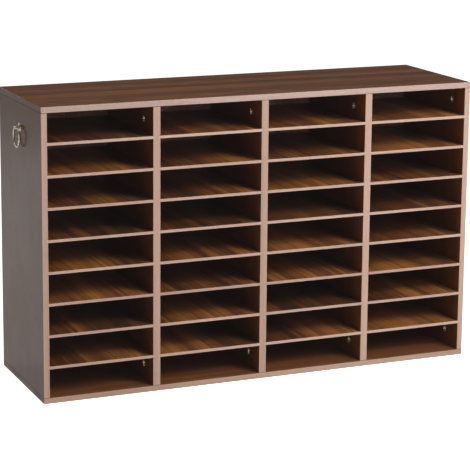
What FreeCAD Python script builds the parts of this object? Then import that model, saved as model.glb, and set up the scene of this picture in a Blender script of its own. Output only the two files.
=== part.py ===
"""Pigeonhole mail sorter: four columns of nine compartments in a cam-locked carcass.

Units are millimetres. +X is to the right of someone facing the open front, the
front faces -Y and +Z is up. The origin is the centre of the footprint.
"""
import FreeCAD, Part
import math
import os
from FreeCAD import Rotation, Vector

# Carcass, over all its boards
width = 1000.0
depth = 300.0
height = 630.0
outer_thickness = 12.7
divider_thickness = 16.0
columns = 4
rows = 9

# Edge bands: light ones on every front edge, dark ones on the ends of the top and bottom
front_band = 0.8
end_band = 0.6

# Back panel, in a groove round the inside of the outer boards
back_thickness = 3.0
back_inset = 12.0
back_groove_depth = 6.0
back_groove_clearance = 0.1
back_edge_clearance = 0.5
divider_back_clearance = 0.2

# Shelves, loose in grooves that are open at the front
shelf_thickness = 6.0
shelf_groove_depth = 3.0
shelf_side_clearance = 0.25
shelf_face_clearance = 0.15
shelf_back_clearance = 1.0

# Cam locks: a cam in each upright board turns on the head of a bolt in the top or bottom
cam_bore_radius = 7.5
cam_clearance = 0.1
cam_recess = 0.2
cam_board_skin = 3.2
cam_floor_clearance = 0.2
cam_setback = 57.0
cam_distance = 34.0
cam_slot_length = 8.0
cam_slot_width = 1.4
cam_slot_depth = 2.0
bolt_thread_radius = 3.0
bolt_thread_length = 8.5
bolt_shank_radius = 2.8
bolt_neck_radius = 1.8
bolt_neck_length = 5.0
bolt_head_radius = 3.0
bolt_head_length = 2.5
bolt_bore_clearance = 0.5
bolt_seat_clearance = 0.05
bolt_hole_spare = 0.5

# Wood dowels beside the cam locks
dowel_radius = 3.0
dowel_length = 29.0
dowel_chamfer = 0.8
dowel_from_cam = 32.0
dowel_in_panel = 8.5
dowel_clearance = 0.05
dowel_end_clearance = 0.5

# Ring pull, below the top: a rosette, a screwed post with an eye, and a ring that swings in it
handle_drop = 65.0
rosette_radius = 10.0
rosette_rim_height = 1.2
rosette_height = 3.0
rosette_crown_radius = 5.0
rosette_fullness = 0.75
rosette_hole_clearance = 0.1
post_stud_radius = 2.0
post_stud_in_panel = 9.0
post_stud_clearance = 0.05
post_hole_spare = 0.5
post_shoulder = 0.6
eye_wall = 2.15
eye_width = 7.0
eye_rounding = 1.2
ring_radius = 21.0
ring_rod_radius = 2.0
ring_corner_radius = 8.0
ring_pin_spare = 0.4
ring_eye_clearance = 0.05
ring_over_rosette = 2.6

# Places worked out from the sizes above
front = -depth / 2
back = depth / 2
right = width / 2
inner_right = right - outer_thickness
inner_bottom = outer_thickness
inner_top = height - outer_thickness
inner_height = inner_top - inner_bottom
board_front = front + front_band
back_panel_back = back - back_inset
back_panel_front = back_panel_back - back_thickness
back_groove_front = back_panel_front - back_groove_clearance
back_groove_back = back_panel_back + back_groove_clearance
bay_width = (2 * inner_right - (columns - 1) * divider_thickness) / columns
bay_pitch = bay_width + divider_thickness
row_height = (inner_height - (rows - 1) * shelf_thickness) / rows
row_pitch = row_height + shelf_thickness
cam_centres_y = (front + cam_setback, back - cam_setback)
dowel_centres_y = (cam_centres_y[0] + dowel_from_cam, cam_centres_y[1] - dowel_from_cam)
bolt_bore_radius = bolt_head_radius + bolt_bore_clearance
bolt_bore_depth = cam_distance + bolt_head_length / 2 + bolt_bore_clearance
dowel_hole_radius = dowel_radius + dowel_clearance
bolt_hole_depth = bolt_thread_length + bolt_hole_spare
dowel_panel_hole = dowel_in_panel + dowel_end_clearance
dowel_upright_hole = dowel_length - dowel_in_panel + dowel_end_clearance
handle_height = height - handle_drop
eye_bore_radius = ring_rod_radius + ring_eye_clearance
eye_standoff = rosette_height + ring_over_rosette + ring_rod_radius


def block(x_from, x_to, y_from, y_to, z_from, z_to):
    """A box between two corners."""
    return Part.makeBox(x_to - x_from, y_to - y_from, z_to - z_from, Vector(x_from, y_from, z_from))


def rod(radius, start, direction, length):
    """A round rod that starts at a point and runs along a direction."""
    return Part.makeCylinder(radius, length, start, direction)


def turned(points):
    """A solid turned about Z from (radius, height) points, closed by straight lines."""
    corners = [Vector(r, 0, z) for r, z in points]
    outline = Part.makePolygon(corners + corners[:1])
    return Part.Face(outline).revolve(Vector(0, 0, 0), Vector(0, 0, 1), 360)


def placed(solid, place, rotation):
    """A copy of a solid, turned about the origin and then moved to its place."""
    moved = solid.copy()
    moved.Placement = FreeCAD.Placement(place, rotation).multiply(solid.Placement)
    return moved


def laid_along(solid, direction, place):
    """A solid made along +Z, laid along a direction from a place."""
    return placed(solid, place, Rotation(Vector(0, 0, 1), direction))


class Upright:
    """One of the vertical boards, a side panel or a divider; cam_side is the face with the cams."""

    def __init__(self, name, x_from, thickness, cam_side, is_side):
        self.name = name
        self.x_from = x_from
        self.x_to = x_from + thickness
        self.middle = x_from + thickness / 2
        self.cam_side = cam_side
        self.cam_depth = thickness - cam_board_skin
        self.is_side = is_side
        self.grooved_sides = (cam_side,) if is_side else (-1, 1)

    def face(self, side):
        """Place of the left face (-1) or the right face (1)."""
        return self.x_from if side < 0 else self.x_to

    def skin(self, side, thickness):
        """Range in X of a layer of the board under one of its faces."""
        inner = self.face(side) - side * thickness
        return min(inner, self.face(side)), max(inner, self.face(side))


def uprights():
    """The side panels and dividers from left to right."""
    boards = [Upright("left_side_panel", -right, outer_thickness, 1, True)]
    for number in range(1, columns):
        start = bay_left(number) + bay_width
        boards.append(Upright(f"divider_{number}", start, divider_thickness, -1, False))
    boards.append(Upright("right_side_panel", inner_right, outer_thickness, -1, True))
    return boards


def bay_left(column):
    """Left wall of a column, columns counted from the left."""
    return -inner_right + (column - 1) * bay_pitch


def shelf_bottom(row):
    """Height of the underside of the shelf below a row, rows counted from the top."""
    return inner_top - row * row_pitch


def shelf_grooves(upright):
    """Grooves for the shelves, cut through the front edge of an upright board."""
    tools = []
    for row in range(1, rows):
        low = shelf_bottom(row) - shelf_face_clearance
        high = shelf_bottom(row) + shelf_thickness + shelf_face_clearance
        for side in upright.grooved_sides:
            across = upright.skin(side, shelf_groove_depth)
            tools.append(block(*across, front, back_panel_front, low, high))
    return tools


def fitting_holes(upright):
    """Cam bores, bolt bores and dowel holes in an upright board."""
    tools = []
    inwards = Vector(-upright.cam_side, 0, 0)
    for end, up in ((inner_bottom, 1), (inner_top, -1)):
        along = Vector(0, 0, up)
        for y in cam_centres_y:
            cam_face = Vector(upright.face(upright.cam_side), y, end + up * cam_distance)
            tools.append(rod(cam_bore_radius, cam_face, inwards, upright.cam_depth))
            tools.append(rod(bolt_bore_radius, Vector(upright.middle, y, end), along, bolt_bore_depth))
        for y in dowel_centres_y:
            start = Vector(upright.middle, y, end)
            tools.append(rod(dowel_hole_radius, start, along, dowel_upright_hole))
    return tools


def side_panel_cuts(upright):
    """The back panel's groove and the blind hole for the handle's stud, in a side panel."""
    across = upright.skin(upright.cam_side, back_groove_depth)
    outer_face = Vector(upright.face(-upright.cam_side), 0, handle_height)
    stud_hole_radius = post_stud_radius + post_stud_clearance
    stud_hole_depth = post_stud_in_panel + post_hole_spare
    return [
        block(*across, back_groove_front, back_groove_back, inner_bottom, inner_top),
        rod(stud_hole_radius, outer_face, Vector(upright.cam_side, 0, 0), stud_hole_depth),
    ]


def upright_board(upright):
    """A side panel or divider without its front band."""
    board_back = back if upright.is_side else back_panel_front - divider_back_clearance
    board = block(upright.x_from, upright.x_to, board_front, board_back, inner_bottom, inner_top)
    tools = shelf_grooves(upright) + fitting_holes(upright)
    if upright.is_side:
        tools += side_panel_cuts(upright)
    return board.cut(tools)


def upright_band(upright):
    """The front edge band of an upright board, notched where the shelf grooves come through."""
    band = block(upright.x_from, upright.x_to, front, board_front, inner_bottom, inner_top)
    return band.cut(shelf_grooves(upright))


def flat_panel(z_from, z_to, inner_face, outwards):
    """The top or bottom board; outwards is the way from its inner face into the board."""
    board = block(-right + end_band, right - end_band, board_front, back, z_from, z_to)
    groove_end = inner_right + back_groove_depth
    groove_low = min(inner_face, inner_face + outwards * back_groove_depth)
    groove_high = max(inner_face, inner_face + outwards * back_groove_depth)
    tools = [block(-groove_end, groove_end, back_groove_front, back_groove_back, groove_low, groove_high)]
    along = Vector(0, 0, outwards)
    for upright in uprights():
        for y in cam_centres_y:
            start = Vector(upright.middle, y, inner_face)
            tools.append(rod(bolt_thread_radius + bolt_seat_clearance, start, along, bolt_hole_depth))
        for y in dowel_centres_y:
            start = Vector(upright.middle, y, inner_face)
            tools.append(rod(dowel_hole_radius, start, along, dowel_panel_hole))
    return board.cut(tools)


def end_bands(z_from, z_to):
    """The two dark bands on the ends of the top or bottom board."""
    left = block(-right, -right + end_band, board_front, back, z_from, z_to)
    right_band = block(right - end_band, right, board_front, back, z_from, z_to)
    return [left, right_band]


def back_panel():
    """The thin board that closes the back, with its edges in the grooves."""
    reach_x = inner_right + back_groove_depth - back_edge_clearance
    low = inner_bottom - back_groove_depth + back_edge_clearance
    high = inner_top + back_groove_depth - back_edge_clearance
    return block(-reach_x, reach_x, back_panel_front, back_panel_back, low, high)


def shelf(column, row):
    """One shelf board and its front band, as two solids."""
    overhang = shelf_groove_depth - shelf_side_clearance
    x_from = bay_left(column) - overhang
    x_to = bay_left(column) + bay_width + overhang
    low = shelf_bottom(row)
    high = low + shelf_thickness
    shelf_back = back_panel_front - shelf_back_clearance
    return [
        block(x_from, x_to, board_front, shelf_back, low, high),
        block(x_from, x_to, front, board_front, low, high),
    ]


def cam_lock(upright, y, end, up):
    """A cam with a crossed slot in its face and a pocket for the head of its bolt."""
    centre_z = end + up * cam_distance
    inwards = Vector(-upright.cam_side, 0, 0)
    face = upright.face(upright.cam_side) - upright.cam_side * cam_recess
    length = upright.cam_depth - cam_recess - cam_floor_clearance
    cam = rod(cam_bore_radius - cam_clearance, Vector(face, y, centre_z), inwards, length)
    pocket = rod(bolt_bore_radius, Vector(upright.middle, y, end), Vector(0, 0, up), bolt_bore_depth)
    half_length = cam_slot_length / 2
    half_width = cam_slot_width / 2
    slot_end = face - upright.cam_side * cam_slot_depth
    x_from = min(face, slot_end)
    x_to = max(face, slot_end)
    slots = [
        block(x_from, x_to, y - half_length, y + half_length, centre_z - half_width, centre_z + half_width),
        block(x_from, x_to, y - half_width, y + half_width, centre_z - half_length, centre_z + half_length),
    ]
    return cam.cut([pocket] + slots)


def cam_bolt(upright, y, end, up):
    """A bolt screwed into the top or bottom board, with its head at the middle of a cam."""
    head_start = cam_distance - bolt_head_length / 2
    neck_start = head_start - bolt_neck_length
    head_end = head_start + bolt_head_length
    profile = [
        (0, -bolt_thread_length),
        (bolt_thread_radius, -bolt_thread_length),
        (bolt_thread_radius, 0),
        (bolt_shank_radius, 0),
        (bolt_shank_radius, neck_start),
        (bolt_neck_radius, neck_start),
        (bolt_neck_radius, head_start),
        (bolt_head_radius, head_start),
        (bolt_head_radius, head_end),
        (0, head_end),
    ]
    return laid_along(turned(profile), Vector(0, 0, up), Vector(upright.middle, y, end))


def wood_dowel(upright, y, end, up):
    """A dowel with chamfered ends, part in the flat panel and part in the upright."""
    blunt = dowel_radius - dowel_chamfer
    low = -dowel_in_panel
    high = dowel_length - dowel_in_panel
    profile = [
        (0, low),
        (blunt, low),
        (dowel_radius, low + dowel_chamfer),
        (dowel_radius, high - dowel_chamfer),
        (blunt, high),
        (0, high),
    ]
    return laid_along(turned(profile), Vector(0, 0, up), Vector(upright.middle, y, end))


def at_each_joint(make, centres_y):
    """One solid for each place along both ends of every upright board."""
    solids = []
    for upright in uprights():
        for end, up in ((inner_bottom, 1), (inner_top, -1)):
            for y in centres_y:
                solids.append(make(upright, y, end, up))
    return solids


def handle_rosette():
    """The turned base of a handle, along +Z from the panel's face."""
    hole = post_stud_radius + rosette_hole_clearance
    middle_radius = (rosette_radius + rosette_crown_radius) / 2
    middle_height = rosette_rim_height + rosette_fullness * (rosette_height - rosette_rim_height)
    rim = Vector(rosette_radius, 0, rosette_rim_height)
    shoulder = Vector(middle_radius, 0, middle_height)
    crown = Vector(rosette_crown_radius, 0, rosette_height)
    inner_crown = Vector(hole, 0, rosette_height)
    inner_foot = Vector(hole, 0, 0)
    foot = Vector(rosette_radius, 0, 0)
    edges = [
        Part.LineSegment(foot, rim).toShape(),
        Part.Arc(rim, shoulder, crown).toShape(),
        Part.LineSegment(crown, inner_crown).toShape(),
        Part.LineSegment(inner_crown, inner_foot).toShape(),
        Part.LineSegment(inner_foot, foot).toShape(),
    ]
    return Part.Face(Part.Wire(edges)).revolve(Vector(0, 0, 0), Vector(0, 0, 1), 360)


def handle_post():
    """The post, along +Z from the panel's face, with its eye bored along Y."""
    up = Vector(0, 0, 1)
    stud_start = Vector(0, 0, -post_stud_in_panel)
    stud = rod(post_stud_radius, stud_start, up, post_stud_in_panel + rosette_height)
    neck_start = Vector(0, 0, rosette_height)
    neck = rod(post_stud_radius + post_shoulder, neck_start, up, eye_standoff - rosette_height)
    eye_start = Vector(0, -eye_width / 2, eye_standoff)
    eye = rod(eye_bore_radius + eye_wall, eye_start, Vector(0, 1, 0), eye_width)
    rims = [edge for edge in eye.Edges if isinstance(edge.Curve, Part.Circle)]
    eye = eye.makeFillet(eye_rounding, rims)
    bore = rod(eye_bore_radius, eye_start, Vector(0, 1, 0), eye_width)
    return stud.fuse([neck, eye]).removeSplitter().cut(bore)


def handle_ring():
    """The ring, hanging along -X from its straight pin in the eye, made up of tangent arcs."""
    pin_half = eye_width / 2 + ring_pin_spare
    reach = ring_radius - ring_corner_radius
    bend = math.asin(pin_half / reach)
    corner_x = math.cos(bend) * reach
    flat = corner_x + ring_corner_radius
    centre = Vector(-flat, 0, eye_standoff)

    def at(x, y):
        return centre + Vector(x, y, 0)

    def corner(side):
        middle_x = corner_x + math.cos(bend / 2) * ring_corner_radius
        middle_y = pin_half + math.sin(bend / 2) * ring_corner_radius
        return at(middle_x, side * middle_y)

    def touch(side):
        return at(math.cos(bend) * ring_radius, side * math.sin(bend) * ring_radius)

    path = Part.Wire([
        Part.LineSegment(at(flat, -pin_half), at(flat, pin_half)).toShape(),
        Part.Arc(at(flat, pin_half), corner(1), touch(1)).toShape(),
        Part.Arc(touch(1), at(-ring_radius, 0), touch(-1)).toShape(),
        Part.Arc(touch(-1), corner(-1), at(flat, -pin_half)).toShape(),
    ])
    section = Part.Wire(Part.makeCircle(ring_rod_radius, at(flat, -pin_half), Vector(0, 1, 0)))
    return path.makePipeShell([section], True, True)


def on_left_side(solid):
    """A handle piece made along +Z, with its top towards +X, set on the left side panel."""
    turn = Rotation(Vector(0, 0, 1), Vector(0, 1, 0), Vector(-1, 0, 0))
    return placed(solid, Vector(-right, 0, handle_height), turn)


def on_right_side(solid):
    """The same piece, mirrored to the right side panel."""
    return on_left_side(solid).mirror(Vector(0, 0, 0), Vector(1, 0, 0))


def build_nodes():
    """Every node's solids by name."""
    nodes = {
        "top_panel": [flat_panel(inner_top, height, inner_top, 1)],
        "top_panel_end_bands": end_bands(inner_top, height),
        "top_front_band": [block(-right, right, front, board_front, inner_top, height)],
        "bottom_panel": [flat_panel(0, inner_bottom, inner_bottom, -1)],
        "bottom_panel_end_bands": end_bands(0, inner_bottom),
        "bottom_front_band": [block(-right, right, front, board_front, 0, inner_bottom)],
        "back_panel": [back_panel()],
    }
    for upright in uprights():
        nodes[upright.name] = [upright_board(upright)]
        nodes[f"{upright.name}_front_band"] = [upright_band(upright)]
    for column in range(1, columns + 1):
        for row in range(1, rows):
            nodes[f"shelf_col{column}_row{row}"] = shelf(column, row)
    nodes["cam_locks"] = at_each_joint(cam_lock, cam_centres_y)
    nodes["cam_bolts"] = at_each_joint(cam_bolt, cam_centres_y)
    nodes["wood_dowels"] = at_each_joint(wood_dowel, dowel_centres_y)
    handle_pieces = {"rosette": handle_rosette(), "post": handle_post(), "ring": handle_ring()}
    for piece, solid in handle_pieces.items():
        nodes[f"left_handle_{piece}"] = [on_left_side(solid)]
        nodes[f"right_handle_{piece}"] = [on_right_side(solid)]
    return nodes


def main():
    """Write one STEP file for each node."""
    os.makedirs("parts", exist_ok=True)
    for name, solids in build_nodes().items():
        shape = solids[0] if len(solids) == 1 else Part.makeCompound(solids)
        shape.exportStep(f"parts/{name}.step")


main()
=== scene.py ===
"""Finish and studio of the pigeonhole mail sorter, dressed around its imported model.

Lengths are metres. +X is to the right of someone facing the open front, the front
faces -Y and +Z is up.
"""

import logging
import math
from dataclasses import dataclass, field, replace
from enum import Enum
from typing import ClassVar

import bmesh
import bpy
from mathutils import Matrix, Vector


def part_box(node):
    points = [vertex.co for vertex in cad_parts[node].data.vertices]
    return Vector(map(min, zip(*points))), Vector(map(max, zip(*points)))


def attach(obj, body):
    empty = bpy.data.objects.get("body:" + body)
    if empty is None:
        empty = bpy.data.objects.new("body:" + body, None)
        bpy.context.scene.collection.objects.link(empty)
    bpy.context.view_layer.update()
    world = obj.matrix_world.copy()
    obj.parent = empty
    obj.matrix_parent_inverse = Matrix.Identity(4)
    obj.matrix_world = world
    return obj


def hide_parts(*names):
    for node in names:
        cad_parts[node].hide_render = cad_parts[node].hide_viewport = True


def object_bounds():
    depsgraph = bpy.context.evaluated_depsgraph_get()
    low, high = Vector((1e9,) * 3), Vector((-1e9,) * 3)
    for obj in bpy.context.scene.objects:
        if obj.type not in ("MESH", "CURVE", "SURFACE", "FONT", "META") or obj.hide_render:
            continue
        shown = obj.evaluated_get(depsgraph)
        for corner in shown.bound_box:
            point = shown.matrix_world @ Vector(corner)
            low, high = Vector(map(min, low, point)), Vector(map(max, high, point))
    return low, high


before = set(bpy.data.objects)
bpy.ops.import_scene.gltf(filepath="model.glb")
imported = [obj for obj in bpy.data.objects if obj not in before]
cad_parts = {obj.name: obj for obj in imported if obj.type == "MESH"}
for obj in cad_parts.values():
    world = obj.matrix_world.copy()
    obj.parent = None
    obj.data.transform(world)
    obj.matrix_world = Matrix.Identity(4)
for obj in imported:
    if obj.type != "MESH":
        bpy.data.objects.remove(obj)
CAD_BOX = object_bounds()

LOG = logging.getLogger("mail_sorter")
MM = 0.001

Colour = tuple[float, float, float]
Point = tuple[float, float, float]
Span = tuple[float, float]
Stops = tuple[tuple[float, Colour], ...]
Outline = list[tuple[float, float]]
Socket = bpy.types.NodeSocket
Value = Socket | float
Place = tuple[Socket, Socket, Socket]
NodeTree = bpy.types.NodeTree
Material = bpy.types.Material
Piece = bpy.types.Object
Shape = bmesh.types.BMesh

FLOAT = "NodeSocketFloat"
INTEGER = "NodeSocketInt"
VECTOR = "NodeSocketVector"
GEOMETRY = "NodeSocketGeometry"
MATERIAL = "NodeSocketMaterial"

WHITE = (1.0, 1.0, 1.0)
CARCASS_BODY = "carcass"
UPRIGHTS = ("left_side_panel", "divider_1", "divider_2", "divider_3", "right_side_panel")


# ---------------------------------------------------------------- node trees


class Tree(Enum):
    """Kind of node tree: Blender's names of the tree and of the node that places it."""

    SHADER = ("ShaderNodeTree", "ShaderNodeGroup")
    GEOMETRY = ("GeometryNodeTree", "GeometryNodeGroup")


class Graph:
    """A node tree under construction, with short calls to add and link nodes."""

    source: bpy.types.Node
    result: bpy.types.Node
    mix_inputs: ClassVar[tuple[int, int, int]] = (0, 6, 7)
    mix_output: ClassVar[int] = 2

    def __init__(self, tree: NodeTree) -> None:
        """Start on a tree that may already hold nodes."""
        self.tree = tree

    @classmethod
    def group(cls, name: str, kind: Tree, inputs: dict[str, str], outputs: dict[str, str],
              defaults: dict[str, object] | None = None) -> "Graph":
        """Make a reusable group with named sockets.

        Args:
            name: Name of the group.
            kind: Kind of the group's tree.
            inputs: The type of each input, by its name.
            outputs: The type of each output, by its name.
            defaults: Values of the inputs that a user may leave alone.

        Returns:
            The graph, with its ends in `source` and `result`.
        """
        graph = cls(bpy.data.node_groups.new(name, kind.value[0]))
        sockets = graph.tree.interface
        for label, socket_type in inputs.items():
            socket = sockets.new_socket(name=label, in_out="INPUT", socket_type=socket_type)
            if defaults and label in defaults:
                socket.default_value = defaults[label]
        for label, socket_type in outputs.items():
            sockets.new_socket(name=label, in_out="OUTPUT", socket_type=socket_type)
        graph.source = graph.add("NodeGroupInput")
        graph.result = graph.add("NodeGroupOutput")
        return graph

    def add(self, kind: str, feeds: dict | None = None, **settings: object) -> bpy.types.Node:
        """Add a node.

        Args:
            kind: Blender's type name of the node.
            feeds: Sockets or values, by the input's name or number.
            settings: Properties of the node.

        Returns:
            The new node.
        """
        node = self.tree.nodes.new(kind)
        for name, value in settings.items():
            setattr(node, name, value)
        for key, value in (feeds or {}).items():
            self.feed(node.inputs[key], value)
        return node

    def output(self, kind: str, feeds: dict | None = None, **settings: object) -> Socket:
        """First output of a new node."""
        return self.add(kind, feeds, **settings).outputs[0]

    def feed(self, socket: Socket, value: object) -> None:
        """Link a socket to an input, or set the input's own value.

        Args:
            socket: The input.
            value: A socket, or a plain value.
        """
        if isinstance(value, Socket):
            self.tree.links.new(value, socket)
        else:
            socket.default_value = value

    def give(self, name: str, value: Value) -> None:
        """Feed an output of the group."""
        self.feed(self.result.inputs[name], value)

    def use(self, group: NodeTree, feeds: dict) -> bpy.types.Node:
        """Place a group and feed its inputs by name."""
        placed_by = dict(kind.value for kind in Tree)
        return self.add(placed_by[group.bl_idname], feeds, node_tree=group)

    def maths(self, operation: str, *values: Value) -> Socket:
        """Output of a Math node."""
        return self.output("ShaderNodeMath", dict(enumerate(values)), operation=operation)

    def plus(self, first: Value, second: Value) -> Socket:
        """Sum of two values."""
        return self.maths("ADD", first, second)

    def minus(self, first: Value, second: Value) -> Socket:
        """First value less the second."""
        return self.maths("SUBTRACT", first, second)

    def times(self, first: Value, second: Value) -> Socket:
        """Product of two values."""
        return self.maths("MULTIPLY", first, second)

    def times_plus(self, first: Value, second: Value, third: Value) -> Socket:
        """Product of two values, and a third added."""
        return self.maths("MULTIPLY_ADD", first, second, third)

    def over(self, first: Value, second: Value) -> Socket:
        """First value divided by the second."""
        return self.maths("DIVIDE", first, second)

    def centred(self, share: Value) -> Socket:
        """A share from 0 to 1, set about nought."""
        return self.minus(share, 0.5)

    def remap(self, value: Value, low: float, high: float,
              to_low: float = 0.0, to_high: float = 1.0) -> Socket:
        """Output of a smooth Map Range node."""
        feeds = {0: value, 1: low, 2: high, 3: to_low, 4: to_high}
        return self.output("ShaderNodeMapRange", feeds, interpolation_type="SMOOTHSTEP")

    def blend(self, share: Value, first: object, second: object) -> Socket:
        """Colour between two colours."""
        feeds = dict(zip(self.mix_inputs, (share, first, second)))
        return self.add("ShaderNodeMix", feeds, data_type="RGBA").outputs[self.mix_output]

    def noise(self, vector: Value, detail: float, roughness: float = 0.5) -> Socket:
        """Value of a 3-D noise with one cell to a unit of its vector."""
        feeds = {"Vector": vector, "Scale": 1.0, "Detail": detail, "Roughness": roughness}
        return self.output("ShaderNodeTexNoise", feeds)

    def combine(self, x: Value, y: Value, z: Value) -> Socket:
        """Vector of three values."""
        return self.output("ShaderNodeCombineXYZ", {0: x, 1: y, 2: z})

    def split(self, vector: Socket) -> bpy.types.NodeOutputs:
        """The three values of a vector."""
        return self.add("ShaderNodeSeparateXYZ", {0: vector}).outputs

    def scaled(self, vector: Socket, rate: Value) -> Socket:
        """A vector times a value."""
        return self.output("ShaderNodeVectorMath", {0: vector, 3: rate}, operation="SCALE")

    def first_channel(self, colour: Socket) -> Socket:
        """Red part of a colour."""
        return self.output("ShaderNodeSeparateColor", {0: colour})

    def attribute(self, name: str, data_type: str) -> Socket:
        """A named attribute of the geometry."""
        return self.output("GeometryNodeInputNamedAttribute", {"Name": name}, data_type=data_type)


def opaque(colour: Colour) -> tuple[float, float, float, float]:
    """A colour with full alpha, as colour sockets want it."""
    return (*colour, 1.0)


# ---------------------------------------------------------------- shared effects


@dataclass(frozen=True)
class Layer:
    """One noise of the wood figure, with its rates along and across the grain."""

    along: float
    across: float
    detail: float
    roughness: float = 0.5
    shift: float = 0.0

    def at(self, graph: Graph, place: Place) -> Socket:
        """Value of the noise.

        Args:
            graph: The tree.
            place: Sockets of the place along the grain, across it and from sheet to sheet.

        Returns:
            The socket of the value.
        """
        along, across, sheet = place
        vector = graph.combine(graph.times(along, self.along), graph.times(across, self.across),
                               graph.plus(sheet, self.shift))
        return graph.noise(vector, self.detail, self.roughness)


@dataclass(frozen=True)
class WoodFigure:
    """The figure of sawn wood: planks, flames, streaks and pores."""

    inputs: ClassVar[tuple[str, ...]] = ("Band Width", "Streak Width", "Waviness", "Planks", "Flames",
                                         "Streaks", "Sheet Spread")
    sheet_rate: float = 25.0
    drift: Layer = Layer(along=1.5, across=5.0, detail=2.0)
    drift_reach: float = 2.0
    soft_bands: Layer = Layer(along=0.7, across=1.0, detail=1.5)
    soft_span: Span = (0.30, 0.70)
    plank_sheet_rate: float = 3.1
    plank_rate: float = 0.9
    swell: Layer = Layer(along=1.3, across=0.45, detail=0.6, shift=7.3)
    swell_rings: float = 34.0
    flame_places: Layer = Layer(along=1.1, across=0.6, detail=0.0, shift=19.0)
    flame_span: Span = (0.48, 0.66)
    streak_lines: Layer = Layer(along=1.6, across=1.0, detail=3.0, roughness=0.62)
    streak_span: Span = (0.36, 0.64)
    fibres: Layer = Layer(along=12.0, across=5.0, detail=2.0)
    fibre_share: float = 0.16
    band_share: float = 0.52
    base_tone: float = 0.25
    sheet_tone_rates: Span = (5.3, 4.0)
    pore_field: Layer = Layer(along=150.0, across=2400.0, detail=1.0)
    pore_span: Span = (0.60, 0.72)

    def build(self) -> NodeTree:
        """Build the group.

        Returns:
            The group. Its vector runs along the grain in X, across it in Y, and
            from one sheet to the next in Z, in metres.
        """
        sockets = {"Vector": VECTOR} | dict.fromkeys(self.inputs, FLOAT)
        graph = Graph.group("Wood figure", Tree.SHADER, sockets, {"Tone": FLOAT, "Pores": FLOAT})
        inputs = graph.source.outputs
        along, beside, above = graph.split(inputs["Vector"])
        sheet = graph.times(above, self.sheet_rate)
        drift = graph.centred(self.drift.at(graph, (along, beside, sheet)))
        swing = graph.times(drift, inputs["Waviness"])
        across = graph.plus(beside, graph.times(swing, self.drift_reach))
        in_bands = (along, graph.over(across, inputs["Band Width"]), sheet)
        in_streaks = (along, graph.over(across, inputs["Streak Width"]), sheet)

        bands = self.bands(graph, in_bands, inputs["Planks"])
        flames = self.flames(graph, in_bands, inputs["Flames"])
        lines = self.lines(graph, in_streaks, inputs["Streaks"])
        broad = graph.times_plus(bands, self.band_share, self.base_tone)
        tone = graph.plus(broad, graph.plus(lines, flames))
        sheet_rate, beside_rate = self.sheet_tone_rates
        each_sheet = graph.combine(graph.times(sheet, sheet_rate), graph.times(beside, beside_rate),
                                   0.0)
        shift = graph.centred(graph.noise(each_sheet, 0.0))
        tone = graph.times_plus(shift, inputs["Sheet Spread"], tone)
        graph.give("Tone", graph.maths("MAXIMUM", graph.maths("MINIMUM", tone, 1.0), 0.0))
        pores = self.pore_field.at(graph, (along, across, sheet))
        graph.give("Pores", graph.remap(pores, *self.pore_span))
        return graph.tree

    def bands(self, graph: Graph, place: Place, planks: Socket) -> Socket:
        """Add broad bands, soft ones mixed with planks that end sharply.

        Args:
            graph: The tree.
            place: Place along the grain, in bands across it and from sheet to sheet.
            planks: Share of the planks.

        Returns:
            The socket of the tone, from 0 to 1.
        """
        soft = graph.remap(self.soft_bands.at(graph, place), *self.soft_span)
        plank_place = graph.combine(graph.times(place[2], self.plank_sheet_rate),
                                    graph.times(place[1], self.plank_rate), 0.0)
        feeds = {"Vector": plank_place, "Scale": 1.0}
        cells = graph.add("ShaderNodeTexVoronoi", feeds, voronoi_dimensions="2D")
        plank = graph.first_channel(cells.outputs["Color"])
        return graph.times_plus(graph.minus(plank, soft), planks, soft)

    def flames(self, graph: Graph, place: Place, share: Socket) -> Socket:
        """Add pointed arches here and there, as where a cut runs through the year rings.

        Args:
            graph: The tree.
            place: Place along the grain, in bands across it and from sheet to sheet.
            share: Strength of the arches.

        Returns:
            The socket of the tone about nought.
        """
        rings = graph.maths("PINGPONG", graph.times(self.swell.at(graph, place), self.swell_rings), 1.0)
        here = graph.remap(self.flame_places.at(graph, place), *self.flame_span)
        return graph.times(graph.times(graph.centred(rings), here), share)

    def lines(self, graph: Graph, place: Place, share: Socket) -> Socket:
        """Add streaks along the grain, and the fibres in them.

        Args:
            graph: The tree.
            place: Place along the grain, in streaks across it and from sheet to sheet.
            share: Strength of the streaks.

        Returns:
            The socket of the tone about nought.
        """
        streaks = graph.centred(graph.remap(self.streak_lines.at(graph, place), *self.streak_span))
        fibres = graph.centred(self.fibres.at(graph, place))
        return graph.times_plus(streaks, share, graph.times(fibres, self.fibre_share))


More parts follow.
